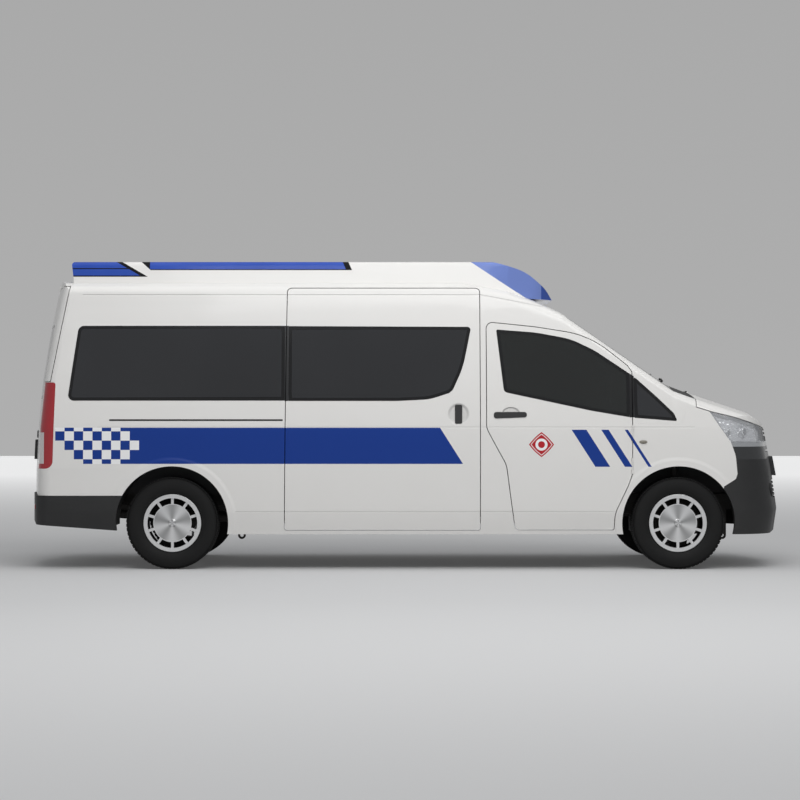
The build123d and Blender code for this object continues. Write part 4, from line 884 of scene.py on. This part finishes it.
for end, node_name, body, inwards, plate_z in (
        ("front", "front_bumper", "body", Vector((-1, 0, 0)), FRONT_PLATE_Z),
        ("rear", "tailgate", "tailgate", Vector((1, 0, 0)), REAR_PLATE_Z)):
    plates, holders = bmesh.new(), bmesh.new()
    spot, normal = surface(node_name, inwards * -4 + Vector((0, 0, plate_z)), inwards)
    place = laid_on(spot, normal)
    pad(holders, place, HOLDER, HOLDER_EDGE)
    seat_back(holders, place, node_name, inwards)
    pad(plates, place @ Matrix.Translation((0, 0, HOLDER[2] / 2)), PLATE, PLATE_EDGE)
    piece(end + "_plate_holder", holders, grained, body, "black_plastic")
    piece(end + "_plate", plates, plate_white, body, "body_paint")
grip = bmesh.new()
spot, normal = surface("tailgate", (-4, 0, HANDLE_Z), (1, 0, 0))
pad(grip, laid_on(spot, normal), HANDLE, HANDLE_EDGE)
long_edges = [edge for edge in grip.edges if abs(edge.verts[0].co.y - edge.verts[1].co.y) > HANDLE[0] / 2]
bmesh.ops.subdivide_edges(grip, edges=long_edges, cuts=HANDLE_CUTS)
bend_to(grip, spot, "tailgate", Vector((1, 0, 0)))
piece("tailgate_handle", grip, grained, "tailgate", "black_plastic")

FOG_Y, FOG_Z = 0.70, 0.60
FOG_RIM = [(-0.012, 0.050), (0.004, 0.054), (0.008, 0.050), (0.006, 0.043), (-0.006, 0.040)]
FOG_LENS = [(-0.010, 0.041), (-0.004, 0.040), (0.001, 0.030), (0.003, 0.004)]
REFLECTOR_Y, REFLECTOR_Z, REFLECTOR_PROUD = 0.66, 0.47, 0.002
REFLECTOR = (0.17, 0.035, 0.010)
rims, lenses, reflectors = bmesh.new(), bmesh.new(), bmesh.new()
for side in (-1, 1):
    spot, normal = surface("front_bumper", (4, side * FOG_Y, FOG_Z), (-1, 0, 0))
    place = facing(spot, (normal + Vector((1, 0, 0))).normalized())
    lathed(rims, FOG_RIM, place)
    lathed(lenses, FOG_LENS, place)
    spot, normal = surface("rear_bumper", (-4, side * REFLECTOR_Y, REFLECTOR_Z), (1, 0, 0))
    place = laid_on(spot, normal) @ Matrix.Translation((0, 0, REFLECTOR_PROUD))
    pad(reflectors, place, REFLECTOR, HOLDER_EDGE)
piece("fog_lamp_rims", rims, grained, "body", "black_plastic")
piece("fog_lamp_lenses", lenses, bright, "body", "lamp_silver")
piece("rear_reflectors", reflectors, red_lens, "body", "red_lens")

WIPER_ROWS = [(0.60, -0.04), (-0.10, -0.72)]
WIPER_FOOT_X, WIPER_RISE_X = 2.05, 0.10
WIPER_WIDTH, WIPER_HEIGHT, WIPER_OFF, WIPER_LAP, WIPER_EDGE = 0.014, 0.016, 0.012, 0.01, 0.004
wipers = bmesh.new()
for foot_y, tip_y in WIPER_ROWS:
    spots = []
    for share in (0.0, 0.35, 0.7, 1.0):
        start = (WIPER_FOOT_X - WIPER_RISE_X * share, foot_y + (tip_y - foot_y) * share, 3)
        spot, normal = surface("windscreen", start, (0, 0, -1))
        if spot is not None:
            spots.append((spot, normal))
    for (low_spot, low_normal), (high_spot, _) in zip(spots, spots[1:]):
        reach = high_spot - low_spot
        place = laid_on((low_spot + high_spot) / 2 + low_normal * WIPER_OFF, low_normal, up=reach)
        pad(wipers, place, (WIPER_WIDTH, reach.length + WIPER_LAP, WIPER_HEIGHT), WIPER_EDGE)
piece("wipers", wipers, grained, "body", "black_plastic")

# Studio: a pale floor that ends far behind the vehicle, and a grey backdrop that glows a little.
# Two large soft lamps stand above and in front, and the camera looks square at the right side.
CAMERA_X, CAMERA_Y, CAMERA_Z = -0.0445, -18.975, 1.2
FOCAL_MM = 106.5
HORIZON_SHIFT = 0.015
FLOOR_START_Y, FLOOR_END_Y = -40, 45.6
STUDIO_HALF, WALL_TOP_Z = 60, 40


def plane(name, corners, material):
    """A flat sheet of the studio."""
    mesh = bpy.data.meshes.new(name)
    mesh.from_pydata(corners, [], [tuple(range(len(corners)))])
    mesh.materials.append(material)
    made = bpy.data.objects.new(name, mesh)
    scene.collection.objects.link(made)
    made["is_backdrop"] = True
    return made


FLOOR_GREY, WALL_GREY = 0.52, 0.42
WALL_FADE_Z, WALL_FADE = 16.0, 0.92
FAR_GLOW, NEAR_GLOW, FLOOR_GLOW = 0.56, 0.15, 0.055
floor_finish, node, feed = finish_of("studio_floor", Roughness=0.9, Emission_Strength=1.0)
feed(Base_Color=(FLOOR_GREY, FLOOR_GREY, FLOOR_GREY, 1))
coords, (x, y, z) = places(node)
far = node("ShaderNodeMapRange", {}, {"Value": y, "From Min": 2.0, "From Max": 26.0, "To Max": FAR_GLOW})
near = node("ShaderNodeMapRange", {}, {"Value": y, "From Min": -4.0, "From Max": -12.0, "To Max": NEAR_GLOW})
feed(Emission_Color=mixed(node, far + near + FLOOR_GLOW, (0, 0, 0, 1), (1, 1, 1, 1)))
wall_finish, node, feed = finish_of("studio_wall", Roughness=1.0, Emission_Strength=1.0)
coords, (x, y, z) = places(node)
rise = node("ShaderNodeMapRange", {}, {
    "Value": z, "From Max": WALL_FADE_Z, "To Min": WALL_GREY, "To Max": WALL_GREY * WALL_FADE})
feed(Base_Color=(0, 0, 0, 1), Emission_Color=mixed(node, rise, (0, 0, 0, 1), (1, 1, 1, 1)))
plane("studio_floor", [
    (-STUDIO_HALF, FLOOR_START_Y, 0), (STUDIO_HALF, FLOOR_START_Y, 0),
    (STUDIO_HALF, FLOOR_END_Y, 0), (-STUDIO_HALF, FLOOR_END_Y, 0)], floor_finish)
plane("studio_wall", [
    (-STUDIO_HALF, FLOOR_END_Y, 0), (STUDIO_HALF, FLOOR_END_Y, 0),
    (STUDIO_HALF, FLOOR_END_Y, WALL_TOP_Z), (-STUDIO_HALF, FLOOR_END_Y, WALL_TOP_Z)], wall_finish)

world = bpy.data.worlds.new("studio_world")
scene.world = world
world.use_nodes = True
world.node_tree.nodes["Background"].inputs["Color"].default_value = (0.80, 0.82, 0.85, 1)
world.node_tree.nodes["Background"].inputs["Strength"].default_value = 0.42


def area_light(name, location, aim, size, power):
    """A soft lamp that looks at a place."""
    data = bpy.data.lights.new(name, "AREA")
    data.shape = "RECTANGLE"
    data.size, data.size_y = size
    data.energy = power
    lamp = bpy.data.objects.new(name, data)
    lamp.location = location
    lamp.rotation_euler = (Vector(aim) - Vector(location)).to_track_quat("-Z", "Y").to_euler()
    scene.collection.objects.link(lamp)
    return lamp


area_light("overhead_softbox", (0, -1.5, 7.5), (0, 0, 0.8), (9, 5), 190)
area_light("front_softbox", (1.5, -8, 8), (0, 0, 1.1), (9, 4), 560)

camera_data = bpy.data.cameras.new("camera")
camera_data.lens = FOCAL_MM
camera_data.sensor_width = 36
camera_data.shift_y = HORIZON_SHIFT
camera_data.clip_end = 200
camera = bpy.data.objects.new("camera", camera_data)
camera.location = (CAMERA_X, CAMERA_Y, CAMERA_Z)
camera.rotation_euler = (math.pi / 2, 0, 0)
scene.collection.objects.link(camera)
scene.camera = camera

low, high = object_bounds()
